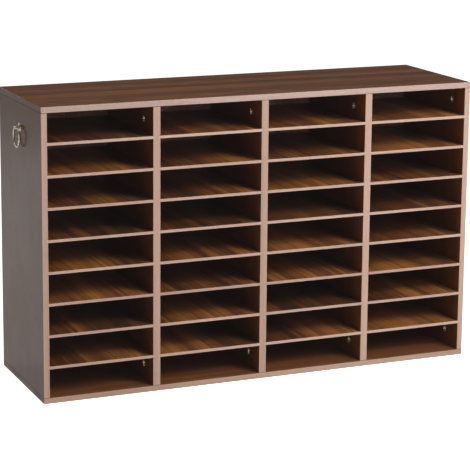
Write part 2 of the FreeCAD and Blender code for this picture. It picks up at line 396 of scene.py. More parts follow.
@dataclass(frozen=True)
class HandlingMarks:
    """Smudges left by hands, and fine scratches that all run one way."""

    smudge_detail: float = 3.0
    smudge_roughness: float = 0.6
    smudge_span: Span = (0.35, 0.68)
    scratch_length: float = 30 * MM
    scratch_turn: float = 0.6
    scratch_rates: Point = (1.0, 60.0, 9.0)
    scratch_span: Span = (0.72, 0.80)

    def build(self) -> NodeTree:
        """Build the group.

        Returns:
            The group, whose two outputs are masks.
        """
        graph = Graph.group("Handling marks", Tree.SHADER,
                            {"Vector": VECTOR, "Patch Size": FLOAT, "Scratch Length": FLOAT},
                            {"Smudges": FLOAT, "Scratches": FLOAT},
                            {"Scratch Length": self.scratch_length})
        inputs = graph.source.outputs
        patches = graph.scaled(inputs["Vector"], graph.over(1.0, inputs["Patch Size"]))
        smudges = graph.noise(patches, self.smudge_detail, self.smudge_roughness)
        feeds = {0: inputs["Vector"], "Angle": self.scratch_turn}
        turned = graph.output("ShaderNodeVectorRotate", feeds, rotation_type="AXIS_ANGLE")
        rate = graph.over(1.0, inputs["Scratch Length"])
        place = graph.combine(*(graph.times(graph.times(part, rate), narrow)
                                for part, narrow in zip(graph.split(turned), self.scratch_rates)))
        graph.give("Smudges", graph.remap(smudges, *self.smudge_span))
        graph.give("Scratches", graph.remap(graph.noise(place, 0.0), *self.scratch_span))
        return graph.tree


@dataclass(frozen=True)
class SettledDust:
    """A thin film of dust on faces that look up."""

    facing_span: Span = (0.7, 1.0)
    cloud_rate: float = 24.0
    cloud_detail: float = 4.0
    cloud_roughness: float = 0.65
    cloud_span: Span = (0.30, 0.75)
    least: float = 0.25

    def build(self) -> NodeTree:
        """Build the group.

        Returns:
            The group, whose output is a mask.
        """
        sockets = {"Vector": VECTOR, "Amount": FLOAT}
        graph = Graph.group("Settled dust", Tree.SHADER, sockets, {"Dust": FLOAT})
        inputs = graph.source.outputs
        normal = graph.add("ShaderNodeNewGeometry").outputs["Normal"]
        upwards = graph.remap(graph.split(normal)[2], *self.facing_span)
        place = graph.scaled(inputs["Vector"], self.cloud_rate)
        clouds = graph.noise(place, self.cloud_detail, self.cloud_roughness)
        film = graph.remap(clouds, *self.cloud_span, self.least, 1.0)
        graph.give("Dust", graph.times(graph.times(upwards, film), inputs["Amount"]))
        return graph.tree


class Effects:
    """The shader node groups that several finishes share."""

    def __init__(self) -> None:
        """Build each group once."""
        self.figure = WoodFigure().build()
        self.handling = HandlingMarks().build()
        self.dust = SettledDust().build()


# ---------------------------------------------------------------- finishes


class Grain(Enum):
    """Which way the grain runs: the axes along it, across it, and from sheet to sheet."""

    ALONG_WIDTH = ("X", "Y", "Z")
    ALONG_DEPTH = ("Y", "X", "Z")
    ALONG_HEIGHT = ("Z", "Y", "X")
    ON_THE_BACK = ("Z", "X", "Y")


class Surface:
    """A Principled material under construction, with object coordinates in metres."""

    def __init__(self, name: str) -> None:
        """Make an empty material with its shader and output.

        Args:
            name: Name of the material.
        """
        self.material = bpy.data.materials.new(name)
        self.material.use_nodes = True
        self.material.node_tree.nodes.clear()
        self.graph = Graph(self.material.node_tree)
        self.shader = self.graph.add("ShaderNodeBsdfPrincipled")
        self.end = self.graph.add("ShaderNodeOutputMaterial", {0: self.shader.outputs[0]})
        self.place = self.graph.add("ShaderNodeTexCoord").outputs["Object"]

    def feed(self, **values: object) -> None:
        """Feed sockets of the shader, named with underscores for spaces."""
        for name, value in values.items():
            self.graph.feed(self.shader.inputs[name.replace("_", " ")], value)

    def bump(self, height: Socket, distance: float) -> None:
        """Roughen the surface with a height in units of a distance."""
        feeds = {"Height": height, "Distance": distance, "Strength": 1.0}
        self.feed(Normal=self.graph.output("ShaderNodeBump", feeds))

    def ramp(self, value: Socket, stops: Stops) -> Socket:
        """Turn a value into a colour between stops.

        Args:
            value: The socket that is read.
            stops: Places from 0 to 1 and their colours, in order.

        Returns:
            The colour socket.
        """
        node = self.graph.add("ShaderNodeValToRGB", {0: value})
        elements = node.color_ramp.elements
        while len(elements) < len(stops):
            elements.new(1.0)
        for element, (at, colour) in zip(elements, stops):
            element.position = at
            element.color = opaque(colour)
        return node.outputs[0]


@dataclass(frozen=True)
class WoodPrint:
    """A printed foil or veneer with wood figure, as on laminate and edge bands."""

    name: str
    grain: Grain
    stops: Stops
    band_width: float = 45 * MM
    streak_width: float = 4.5 * MM
    waviness: float = 6 * MM
    planks: float = 0.35
    flames: float = 0.35
    streaks: float = 0.36
    sheet_spread: float = 0.0
    pore_depth: float = 0.35
    roughness: Span = (0.36, 0.42)
    scratch_roughness: float = 0.08
    smudge_size: float = 90 * MM
    specular: float = 0.5
    emboss: float = 0.02 * MM
    tone_relief: float = 0.5
    dust: float = 0.03
    dust_colour: Colour = (0.42, 0.38, 0.33)

    def build(self, effects: Effects) -> Material:
        """Make the material.

        Args:
            effects: The shared node groups.

        Returns:
            The finished material.
        """
        surface = Surface(self.name)
        graph = surface.graph
        axes = graph.split(surface.place)
        feeds = {label: getattr(self, label.lower().replace(" ", "_")) for label in WoodFigure.inputs}
        feeds["Vector"] = graph.combine(*(axes[axis] for axis in self.grain.value))
        figure = graph.use(effects.figure, feeds).outputs
        feeds = {"Vector": surface.place, "Patch Size": self.smudge_size}
        marks = graph.use(effects.handling, feeds).outputs
        film = graph.use(effects.dust, {"Vector": surface.place, "Amount": self.dust}).outputs
        colour = surface.ramp(figure["Tone"], self.stops)
        darkest = opaque(self.stops[0][1])
        colour = graph.blend(graph.times(figure["Pores"], self.pore_depth), colour, darkest)
        colour = graph.blend(film["Dust"], colour, opaque(self.dust_colour))
        roughness = graph.remap(marks["Smudges"], 0.0, 1.0, *self.roughness)
        roughness = graph.times_plus(marks["Scratches"], self.scratch_roughness, roughness)
        surface.feed(Base_Color=colour, Roughness=roughness, Specular_IOR_Level=self.specular)
        height = graph.minus(graph.times(figure["Tone"], self.tone_relief), figure["Pores"])
        surface.bump(height, self.emboss)
        return surface.material


@dataclass(frozen=True)
class PressedBoard:
    """Bare edge of particle board or bare back of fibreboard: pressed chips of several tones."""

    name: str
    light: Colour
    dark: Colour
    chip: float
    relief: float
    wander_scale: float = 0.6
    wander_detail: float = 2.0
    gap_span: Span = (0.35, 0.8)
    gap_depth: float = 0.45
    roughness: Span = (0.72, 0.88)
    smudge_size: float = 40 * MM

    def build(self, effects: Effects) -> Material:
        """Make the material.

        Args:
            effects: The shared node groups.

        Returns:
            The finished material.
        """
        surface = Surface(self.name)
        graph = surface.graph
        finely = graph.scaled(surface.place, 1.0 / self.chip)
        feeds = {"Vector": finely, "Scale": self.wander_scale, "Detail": self.wander_detail}
        wander = graph.add("ShaderNodeTexNoise", feeds).outputs["Color"]
        place = graph.output("ShaderNodeVectorMath", {0: finely, 1: wander}, operation="ADD")
        chips = graph.add("ShaderNodeTexVoronoi", {"Vector": place, "Scale": 1.0}).outputs
        tone = graph.first_channel(chips["Color"])
        gaps = graph.remap(chips["Distance"], *self.gap_span)
        feeds = {"Vector": surface.place, "Patch Size": self.smudge_size}
        marks = graph.use(effects.handling, feeds).outputs
        colour = graph.blend(tone, opaque(self.dark), opaque(self.light))
        colour = graph.blend(graph.times(gaps, self.gap_depth), colour, opaque(self.dark))
        roughness = graph.remap(marks["Smudges"], 0.0, 1.0, *self.roughness)
        surface.feed(Base_Color=colour, Roughness=roughness)
        surface.bump(graph.minus(tone, gaps), self.relief)
        return surface.material


@dataclass(frozen=True)
class AgedMetal:
    """Plated or cast metal that has dulled in patches and carries fine scratches."""

    name: str
    bright: Colour
    dull: Colour
    roughness: Span
    patch: float
    scratch: float
    scratch_roughness: float = 0.12
    scratch_depth: float = 0.4
    relief: float = 0.05 * MM

    def build(self, effects: Effects) -> Material:
        """Make the material.

        Args:
            effects: The shared node groups.

        Returns:
            The finished material.
        """
        surface = Surface(self.name)
        graph = surface.graph
        feeds = {"Vector": surface.place, "Patch Size": self.patch, "Scratch Length": self.scratch}
        marks = graph.use(effects.handling, feeds).outputs
        smudges, scratches = marks["Smudges"], marks["Scratches"]
        polished, worn = self.roughness
        roughness = graph.remap(smudges, 0.0, 1.0, worn, polished)
        roughness = graph.times_plus(scratches, self.scratch_roughness, roughness)
        colour = graph.blend(smudges, opaque(self.dull), opaque(self.bright))
        surface.feed(Base_Color=colour, Roughness=roughness, Metallic=1.0)
        surface.bump(graph.times_plus(scratches, -self.scratch_depth, smudges), self.relief)
        return surface.material


def toned(stops: Stops, tint: Colour) -> Stops:
    """Colour stops with their colours multiplied by a tint."""
    return tuple((at, tuple(part * share for part, share in zip(colour, tint))) for at, colour in stops)


WALNUT_STOPS = (
    (0.10, (0.0340, 0.0104, 0.0021)),
    (0.38, (0.0630, 0.0192, 0.0034)),
    (0.62, (0.1020, 0.0312, 0.0053)),
    (0.90, (0.1650, 0.0541, 0.0096)),
)
# A darker copy of the print on eased board edges and on the end bands' meeting edges: partly real dirt
# in the seams, partly painted shade of the gap where boards and bands meet.
ARRIS_SEAM_SHADE_STOPS = toned(WALNUT_STOPS, (0.7, 0.7, 0.7))
# Painted shade: the outward faces of the side panels get a darker, flatter copy of the walnut print,
# standing in for how grazing light and sheen show the sides; it is the same laminate as the top.
SHADED_SIDE_STOPS = (
    (0.10, (0.0500, 0.0172, 0.0052)),
    (0.90, (0.0840, 0.0288, 0.0088)),
)
# Painted light: the shelves, the inside faces of the top and bottom and both faces of each divider get
# lighter copies of the walnut print than the outside faces, though all are one laminate; the extra tone
# stands in for light inside the compartments.
LIT_SHELF_STOPS = (
    (0.10, (0.0280, 0.0075, 0.0009)),
    (0.38, (0.0900, 0.0239, 0.0029)),
    (0.62, (0.1930, 0.0585, 0.0078)),
    (0.90, (0.4100, 0.1580, 0.0300)),
)
LIT_INNER_STOPS = (
    (0.10, (0.0800, 0.0240, 0.0048)),
    (0.90, (0.2000, 0.0700, 0.0160)),
)
LIT_WALL_STOPS = (
    (0.10, (0.0680, 0.0188, 0.0023)),
    (0.90, (0.1320, 0.0390, 0.0046)),
)
ROSE_STOPS = (
    (0.0, (0.258, 0.153, 0.107)),
    (0.5, (0.330, 0.205, 0.146)),
    (1.0, (0.382, 0.246, 0.180)),
)
# Painted light: the top band is a cooler copy of the rose band, standing in for cool light from above
# and behind.
LIT_TOP_ROSE_STOPS = toned(ROSE_STOPS, (0.92, 1.01, 1.14))
# Painted light: the shelf bands are a lighter, cooler copy of the rose band, standing in for the light
# that falls on them.
LIT_SHELF_ROSE_STOPS = toned(ROSE_STOPS, (1.05, 1.12, 1.19))
# Dark line where the rose bands meet: partly real dirt in the joint, partly painted shade of the gap
# between the bands.
JOINT_DIRT_AND_SHADE_STOPS = toned(ROSE_STOPS, (0.40, 0.34, 0.30))
DARK_BAND_STOPS = (
    (0.1, (0.042, 0.0170, 0.0080)),
    (0.9, (0.116, 0.0500, 0.0240)),
)
BACK_STOPS = (
    (0.1, (0.110, 0.066, 0.056)),
    (0.9, (0.230, 0.138, 0.118)),
)
BEECH_STOPS = (
    (0.1, (0.430, 0.260, 0.130)),
    (0.9, (0.640, 0.430, 0.250)),
)

WALNUT_LEVEL = WoodPrint("walnut_laminate_level", Grain.ALONG_WIDTH, WALNUT_STOPS)
# Darker, flatter copy of the print for the sides: painted shade.
SHADED_WALNUT_UPRIGHT = WoodPrint("shaded_walnut_laminate_upright", Grain.ALONG_HEIGHT, SHADED_SIDE_STOPS,
                           roughness=(0.17, 0.24), specular=0.15, emboss=0.004 * MM, dust=0.0)
# Lighter copies of the print for inside faces and shelves: painted light.
LIT_INNER_LEVEL = WoodPrint("inner_laminate_level", Grain.ALONG_WIDTH, LIT_INNER_STOPS)
LIT_INNER_UPRIGHT = WoodPrint("inner_laminate_upright", Grain.ALONG_HEIGHT, LIT_WALL_STOPS)
LIT_SHELF_FACE = WoodPrint("lit_shelf_laminate", Grain.ALONG_DEPTH, LIT_SHELF_STOPS, band_width=30 * MM,
                       streak_width=2.6 * MM, planks=0.6, flames=0.2, streaks=0.55, sheet_spread=1.0)
# Darker, rougher arris where boards and bands meet: partly real dirt, partly painted seam shade.
ARRIS_WITH_SEAM_SHADE = WoodPrint("walnut_laminate_arris", Grain.ALONG_HEIGHT, ARRIS_SEAM_SHADE_STOPS,
                           roughness=(0.62, 0.78), specular=0.15, dust=0.0)
ROSE_LEVEL = WoodPrint("rose_edge_band_level", Grain.ALONG_WIDTH, ROSE_STOPS, band_width=20 * MM,
                       streak_width=1.6 * MM, waviness=2 * MM, planks=0.1, flames=0.12, pore_depth=0.12,
                       roughness=(0.42, 0.55), specular=0.4, emboss=0.03 * MM, dust=0.0)
# Cooler copy of the rose band for the top: painted light.
LIT_ROSE_TOP = replace(ROSE_LEVEL, name="lit_rose_edge_band_top", stops=LIT_TOP_ROSE_STOPS)
# Lighter copy of the rose band for the shelves: painted light.
LIT_ROSE_SHELF = replace(ROSE_LEVEL, name="lit_rose_edge_band_shelf", stops=LIT_SHELF_ROSE_STOPS)
ROSE_UPRIGHT = replace(ROSE_LEVEL, name="rose_edge_band_upright", grain=Grain.ON_THE_BACK)
# Dark joint line on the rose bands: partly real dirt, partly painted shade.
ROSE_JOINT_DIRT_AND_SHADE = replace(ARRIS_WITH_SEAM_SHADE, name="rose_band_joint_dirt_and_shade", grain=Grain.ALONG_WIDTH, stops=JOINT_DIRT_AND_SHADE_STOPS)
DARK_BAND = WoodPrint("dark_edge_band", Grain.ALONG_DEPTH, DARK_BAND_STOPS, roughness=(0.30, 0.42),
                      specular=0.3, dust=0.0)
BACK_FOIL = WoodPrint("back_board_foil", Grain.ON_THE_BACK, BACK_STOPS, roughness=(0.30, 0.42),
                      dust=0.0)
DOWEL_BEECH = WoodPrint("dowel_beech", Grain.ALONG_HEIGHT, BEECH_STOPS, band_width=6 * MM,
                        streak_width=0.9 * MM, waviness=1 * MM, planks=0.0, flames=0.1,
                        roughness=(0.55, 0.68), dust=0.0)
PARTICLE_CORE = PressedBoard("particle_board_core", light=(0.46, 0.32, 0.19), dark=(0.20, 0.12, 0.065),
                             chip=1.6 * MM, relief=0.25 * MM)
BACK_BARE = PressedBoard("back_board_bare", light=(0.27, 0.165, 0.095), dark=(0.17, 0.100, 0.055),
                         chip=0.9 * MM, relief=0.06 * MM)
ZINC = AgedMetal("zinc_fitting", bright=(0.86, 0.85, 0.83), dull=(0.66, 0.65, 0.63),
                 roughness=(0.14, 0.24), patch=4 * MM, scratch=3 * MM)
HANDLE_METAL = AgedMetal("handle_metal", bright=(0.74, 0.69, 0.57), dull=(0.40, 0.36, 0.27),
                         roughness=(0.16, 0.30), patch=7 * MM, scratch=6 * MM)


class Finishes:
    """Every material of the sorter, by what it is on."""

    def __init__(self) -> None:
        """Build the shared effects and then each finish."""
        effects = Effects()
        # Outward faces: the level print, and on the side panels its darker, flatter copy, which paints
        # in shade.
        self.laminate = {foil.grain: foil.build(effects) for foil in (WALNUT_LEVEL, SHADED_WALNUT_UPRIGHT)}
        # Inside faces and shelves take the lighter copies, which paint in light.
        self.lit_inner_laminate = {foil.grain: foil.build(effects)
                               for foil in (LIT_INNER_LEVEL, LIT_INNER_UPRIGHT, LIT_SHELF_FACE)}
        # Eased edges: partly real dirt, partly painted shade in the seams.
        self.seam_shaded_arris = ARRIS_WITH_SEAM_SHADE.build(effects)
        self.rose_level = ROSE_LEVEL.build(effects)
        self.lit_rose_shelf = LIT_ROSE_SHELF.build(effects)
        self.lit_rose_top = LIT_ROSE_TOP.build(effects)
        self.rose_upright = ROSE_UPRIGHT.build(effects)
        self.rose_joint_dirt_and_shade = ROSE_JOINT_DIRT_AND_SHADE.build(effects)
        self.dark_band = DARK_BAND.build(effects)
        self.back_foil = BACK_FOIL.build(effects)
        self.back_bare = BACK_BARE.build(effects)
        self.core = PARTICLE_CORE.build(effects)
        self.zinc = ZINC.build(effects)
        self.handle_metal = HANDLE_METAL.build(effects)
        self.beech = DOWEL_BEECH.build(effects)


# ---------------------------------------------------------------- mesh tools


MERGE_DISTANCE = 0.01 * MM
MERGE_DEGREES = 0.2
SEAM_DISTANCE = 0.001 * MM
BOX_TOLERANCE = 0.02 * MM
# Largest part of a face's normal from which the face is square to an axis, and stays flat.
SQUARE_TO_AXIS = 0.9999
ROUND_PROFILE = 0.5
# Sides of a box are an axis and a way: this is the one that faces +Y.
REAR = (1, 1)


def add_object(name: str, mesh: bpy.types.Mesh) -> Piece:
    """Put a mesh in the scene as an object at the origin.

    Args:
        name: Name of the object.
        mesh: Its mesh.

    Returns:
        The object.
    """
    piece = bpy.data.objects.new(name, mesh)
    bpy.context.scene.collection.objects.link(piece)
    return piece


def stand_for(piece: Piece, node: str, body: str) -> Piece:
    """Put a finished piece on its body, in place of a node.

    Args:
        piece: The piece.
        node: The node that it stands for.
        body: The body that carries it.

    Returns:
        The same piece.
    """
    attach(piece, body)
    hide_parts(node)
    return piece


def merged_copy(node: str) -> Shape:
    """A node's shape with its loose triangles merged into plain faces.

    Args:
        node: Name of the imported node.

    Returns:
        An editable mesh, apart from the node's own.
    """
    shape = bmesh.new()
    shape.from_mesh(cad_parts[node].data)
    bmesh.ops.remove_doubles(shape, verts=shape.verts, dist=MERGE_DISTANCE)
    bmesh.ops.dissolve_limit(shape, angle_limit=math.radians(MERGE_DEGREES),
                             verts=shape.verts, edges=shape.edges)
    return shape


def taken_out(piece: Piece) -> Shape:
    """Turn a piece back into an editable mesh.

    Args:
        piece: The piece, which is removed.

    Returns:
        Its shape.
    """
    shape = bmesh.new()
    shape.from_mesh(piece.data)
    bpy.data.objects.remove(piece)
    return shape


def corners(shape: Shape) -> tuple[Vector, Vector]:
    """Find the corners of a mesh's own box.

    Args:
        shape: The mesh.

    Returns:
        The lowest and the highest corner.
    """
    low = Vector(min(vert.co[axis] for vert in shape.verts) for axis in range(3))
    high = Vector(max(vert.co[axis] for vert in shape.verts) for axis in range(3))
    return low, high


def outer_edges(shape: Shape, sharp_side: tuple[int, int] | None = None) -> list[bmesh.types.BMEdge]:
    """Find the edges that lie along the edges of a mesh's own box.

    Args:
        shape: The mesh.
        sharp_side: Axis and way, 1 or -1, of a side of the box whose edges stay sharp.

    Returns:
        The edges to ease.
    """
    low, high = corners(shape)

    def sides(edge: bmesh.types.BMEdge) -> set[tuple[int, int]]:
        """Sides of the box that hold the whole edge, each as its axis and way."""
        return {(axis, way) for axis in range(3) for way, corner in ((-1, low), (1, high))
                if all(abs(vert.co[axis] - corner[axis]) < BOX_TOLERANCE for vert in edge.verts)}

    return [edge for edge in shape.edges if len(sides(edge)) == 2 and sharp_side not in sides(edge)]


def ease(shape: Shape, edges: list[bmesh.types.BMEdge], offset: float, segments: int,
         material: int = 0) -> None:
    """Round edges over.

    Args:
        shape: The mesh.
        edges: Its edges to round.
        offset: How far the rounding reaches from the edge.
        segments: Faces across the rounding.
        material: Index of the material on the rounding.
    """
    bmesh.ops.bevel(shape, geom=edges, offset=offset, segments=segments, profile=ROUND_PROFILE,
                    affect="EDGES", clamp_overlap=True, material=material)


def finish_mesh(shape: Shape, name: str, materials: list[Material], smooth_angle: float = 0.0) -> Piece:
    """Turn an editable mesh into a finished piece.

    Args:
        shape: The mesh, which is freed.
        name: Name of the piece.
        materials: Materials in the order of the faces' indices.
        smooth_angle: Angle in degrees under which edges are shaded smooth, or 0 for flat faces.

    Returns:
        The piece.
    """
    mesh = bpy.data.meshes.new(name)
    shape.to_mesh(mesh)
    shape.free()
    for material in materials:
        mesh.materials.append(material)
    if smooth_angle:
        mesh.shade_smooth()
        mesh.set_sharp_from_angle(angle=math.radians(smooth_angle))
        for face in mesh.polygons:
            face.use_smooth = max(abs(part) for part in face.normal) < SQUARE_TO_AXIS
    return add_object(name, mesh)


def evaluated_mesh(piece: Piece) -> bpy.types.Mesh:
    """A piece's mesh with its modifiers applied, as a new plain mesh."""
    depsgraph = bpy.context.evaluated_depsgraph_get()
    return bpy.data.meshes.new_from_object(piece.evaluated_get(depsgraph), depsgraph=depsgraph)


def run_tree(tree: NodeTree, piece: Piece, values: dict[str, object]) -> None:
    """Run a geometry tree on an object and keep the result as its plain mesh.

    Args:
        tree: The tree.
        piece: The object whose mesh is the tree's input. No modifier is left on it.
        values: Values of the tree's inputs by name.
    """
    modifier = piece.modifiers.new("Build", "NODES")
    modifier.node_group = tree
    for item in tree.interface.items_tree:
        if item.item_type == "SOCKET" and item.in_out == "INPUT" and item.name in values:
            modifier[item.identifier] = values[item.name]
    mesh = evaluated_mesh(piece)
    piece.modifiers.clear()
    piece.data = mesh
    mesh.name = piece.name


def lathe(profile: Outline, sides: int) -> Shape:
    """Turn a closed outline about Z.

    Args:
        profile: (radius, height) points, closed by the last step back to the first.
        sides: Faces around the axis.

    Returns:
        A closed shell whose faces point outwards.
    """
    shape = bmesh.new()
    rings = []
    for step in range(sides):
        turn = 2 * math.pi * step / sides
        rings.append([shape.verts.new((r * math.cos(turn), r * math.sin(turn), z)) for r, z in profile])
    for step in range(sides):
        ring, following = rings[step], rings[(step + 1) % sides]
        for index in range(len(profile)):
            after = (index + 1) % len(profile)
            shape.faces.new((ring[index], following[index], following[after], ring[after]))
    bmesh.ops.remove_doubles(shape, verts=shape.verts, dist=SEAM_DISTANCE)
    bmesh.ops.dissolve_degenerate(shape, edges=shape.edges, dist=SEAM_DISTANCE)
    bmesh.ops.recalc_face_normals(shape, faces=shape.faces)
    return shape


def arc_points(centre: Span, radius: float, start: float, end: float, steps: int) -> Outline:
    """Points along a circular arc.

    Args:
        centre: Centre of the arc.
        radius: Its radius.
        start: Angle of its first point in degrees.
        end: Angle of its last point in degrees.
        steps: Steps between the points.

    Returns:
        The points, one more than the steps.
    """
    points = []
    for step in range(steps + 1):
        angle = math.radians(start + (end - start) * step / steps)
        points.append((centre[0] + radius * math.cos(angle), centre[1] + radius * math.sin(angle)))
    return points


# ---------------------------------------------------------------- carcass


OUTWARD = {"top_panel": 1, "bottom_panel": -1, "left_side_panel": -1, "right_side_panel": 1}


@dataclass
class Carcass:
    """Boards, back and edge bands that are fixed to each other."""

    finishes: Finishes
    board_ease: float = 0.5 * MM
    end_band_ease: float = 0.5 * MM
    front_band_ease: float = 0.55 * MM
    ease_steps: int = 2
    front_ease_steps: int = 3
    skin_tolerance: float = 0.02 * MM
    joint_slope: Span = (0.2, 0.99)
    smooth_angle: float = 25.0

    def build(self) -> list[Piece]:
        """Make every fixed board and band.

        Returns:
            The pieces.
        """
        finishes = self.finishes
        pieces = [self.board(node, Grain.ALONG_WIDTH) for node in ("top_panel", "bottom_panel")]
        pieces += [self.board(node, Grain.ALONG_HEIGHT) for node in UPRIGHTS]
        pieces.append(self.back())
        # The top band's cooler copy paints in light from above and behind.
        pieces.append(self.front_band("top", finishes.lit_rose_top, (-1,)))
        pieces.append(self.front_band("bottom", finishes.rose_level, (1,)))
        pieces += [self.front_band(node, finishes.rose_upright, (-1, 1)) for node in UPRIGHTS]
        pieces.append(self.end_bands("top_panel_end_bands", (-1,)))
        pieces.append(self.end_bands("bottom_panel_end_bands", (-1, 1)))
        return pieces

    def board(self, node: str, grain: Grain) -> Piece:
        """Make a laminated board with eased edges and a bare core in its cuts.

        Args:
            node: The board's node.
            grain: Way the grain runs on its two broad faces.

        Returns:
            The piece that stands for the node.
        """
        outside, core, arris, inside = range(4)
        shape = merged_copy(node)
        low, high = corners(shape)
        thin = min(range(3), key=lambda axis: high[axis] - low[axis])
        for face in shape.faces:
            facing = round(face.normal[thin])
            skin = high[thin] if facing > 0 else low[thin]
            on_skin = facing and abs(face.calc_center_median()[thin] - skin) < self.skin_tolerance
            face.material_index = core
            if on_skin:
                # Inside faces take the lighter copy of the print, which paints in light.
                face.material_index = outside if facing == OUTWARD.get(node) else inside
        # Eased edges take the darker arris finish: partly real dirt, partly painted shade in the seams.
        ease(shape, outer_edges(shape), self.board_ease, self.ease_steps, arris)
        # The side panels' outward faces take the darker, flatter copy of the print, which paints in
        # shade.
        materials = [self.finishes.laminate[grain], self.finishes.core, self.finishes.seam_shaded_arris,
                     self.finishes.lit_inner_laminate[grain]]
        piece = finish_mesh(shape, f"{node}_board", materials, self.smooth_angle)
        return stand_for(piece, node, CARCASS_BODY)

    def back(self) -> Piece:
        """Make the back panel, foiled on its front and bare behind.

        Returns:
            The piece that stands for it.
        """
        shape = merged_copy("back_panel")
        for face in shape.faces:
            face.material_index = 0 if round(face.normal.y) < 0 else 1
        materials = [self.finishes.back_foil, self.finishes.back_bare]
        piece = finish_mesh(shape, "back_panel_sheet", materials)
        return stand_for(piece, "back_panel", CARCASS_BODY)

    def mark_joint(self, shape: Shape, ways: tuple[int, ...]) -> None:
        """Give the eased edges that meet another band or board the second material.

        Args:
            shape: The eased band.
            ways: Which way the meeting edges face, up (1) or down (-1).
        """
        # The second material is darker: partly real dirt in the joint, partly painted shade of the gap.
        least, most = self.joint_slope
        for face in shape.faces:
            slope = face.normal.z
            if least < abs(slope) < most and math.copysign(1, slope) in ways:
                face.material_index = 1

    def front_band(self, node: str, finish: Material, joint_ways: tuple[int, ...]) -> Piece:
        """Make a front edge band with rounded front arrises.

        Args:
            node: The board's node, without the ending of its band.
            finish: Material of the band.
            joint_ways: Which of its edges meet another band, the upper (1) or the lower one (-1).

        Returns:
            The piece that stands for the band.
        """
        source = f"{node}_front_band"
        shape = merged_copy(source)
        ease(shape, outer_edges(shape, REAR), self.front_band_ease, self.front_ease_steps)
        self.mark_joint(shape, joint_ways)
        materials = [finish, self.finishes.rose_joint_dirt_and_shade]
        piece = finish_mesh(shape, f"{node}_front_strip", materials, self.smooth_angle)
        return stand_for(piece, source, CARCASS_BODY)

    def end_bands(self, node: str, dark_ways: tuple[int, ...]) -> Piece:
        """Make the two dark bands on the ends of a level board.

        Args:
            node: The node of both bands.
            dark_ways: Which of their edges are a dark seam of real dirt and painted shade, the upper
                (1) or the lower one (-1).

        Returns:
            The piece that stands for both bands.
        """
        shape = merged_copy(node)
        ease(shape, outer_edges(shape), self.end_band_ease, self.ease_steps)
        self.mark_joint(shape, dark_ways)
        materials = [self.finishes.dark_band, self.finishes.seam_shaded_arris]
        piece = finish_mesh(shape, f"{node}_pair", materials, self.smooth_angle)
        return stand_for(piece, node, CARCASS_BODY)


# ---------------------------------------------------------------- shelves


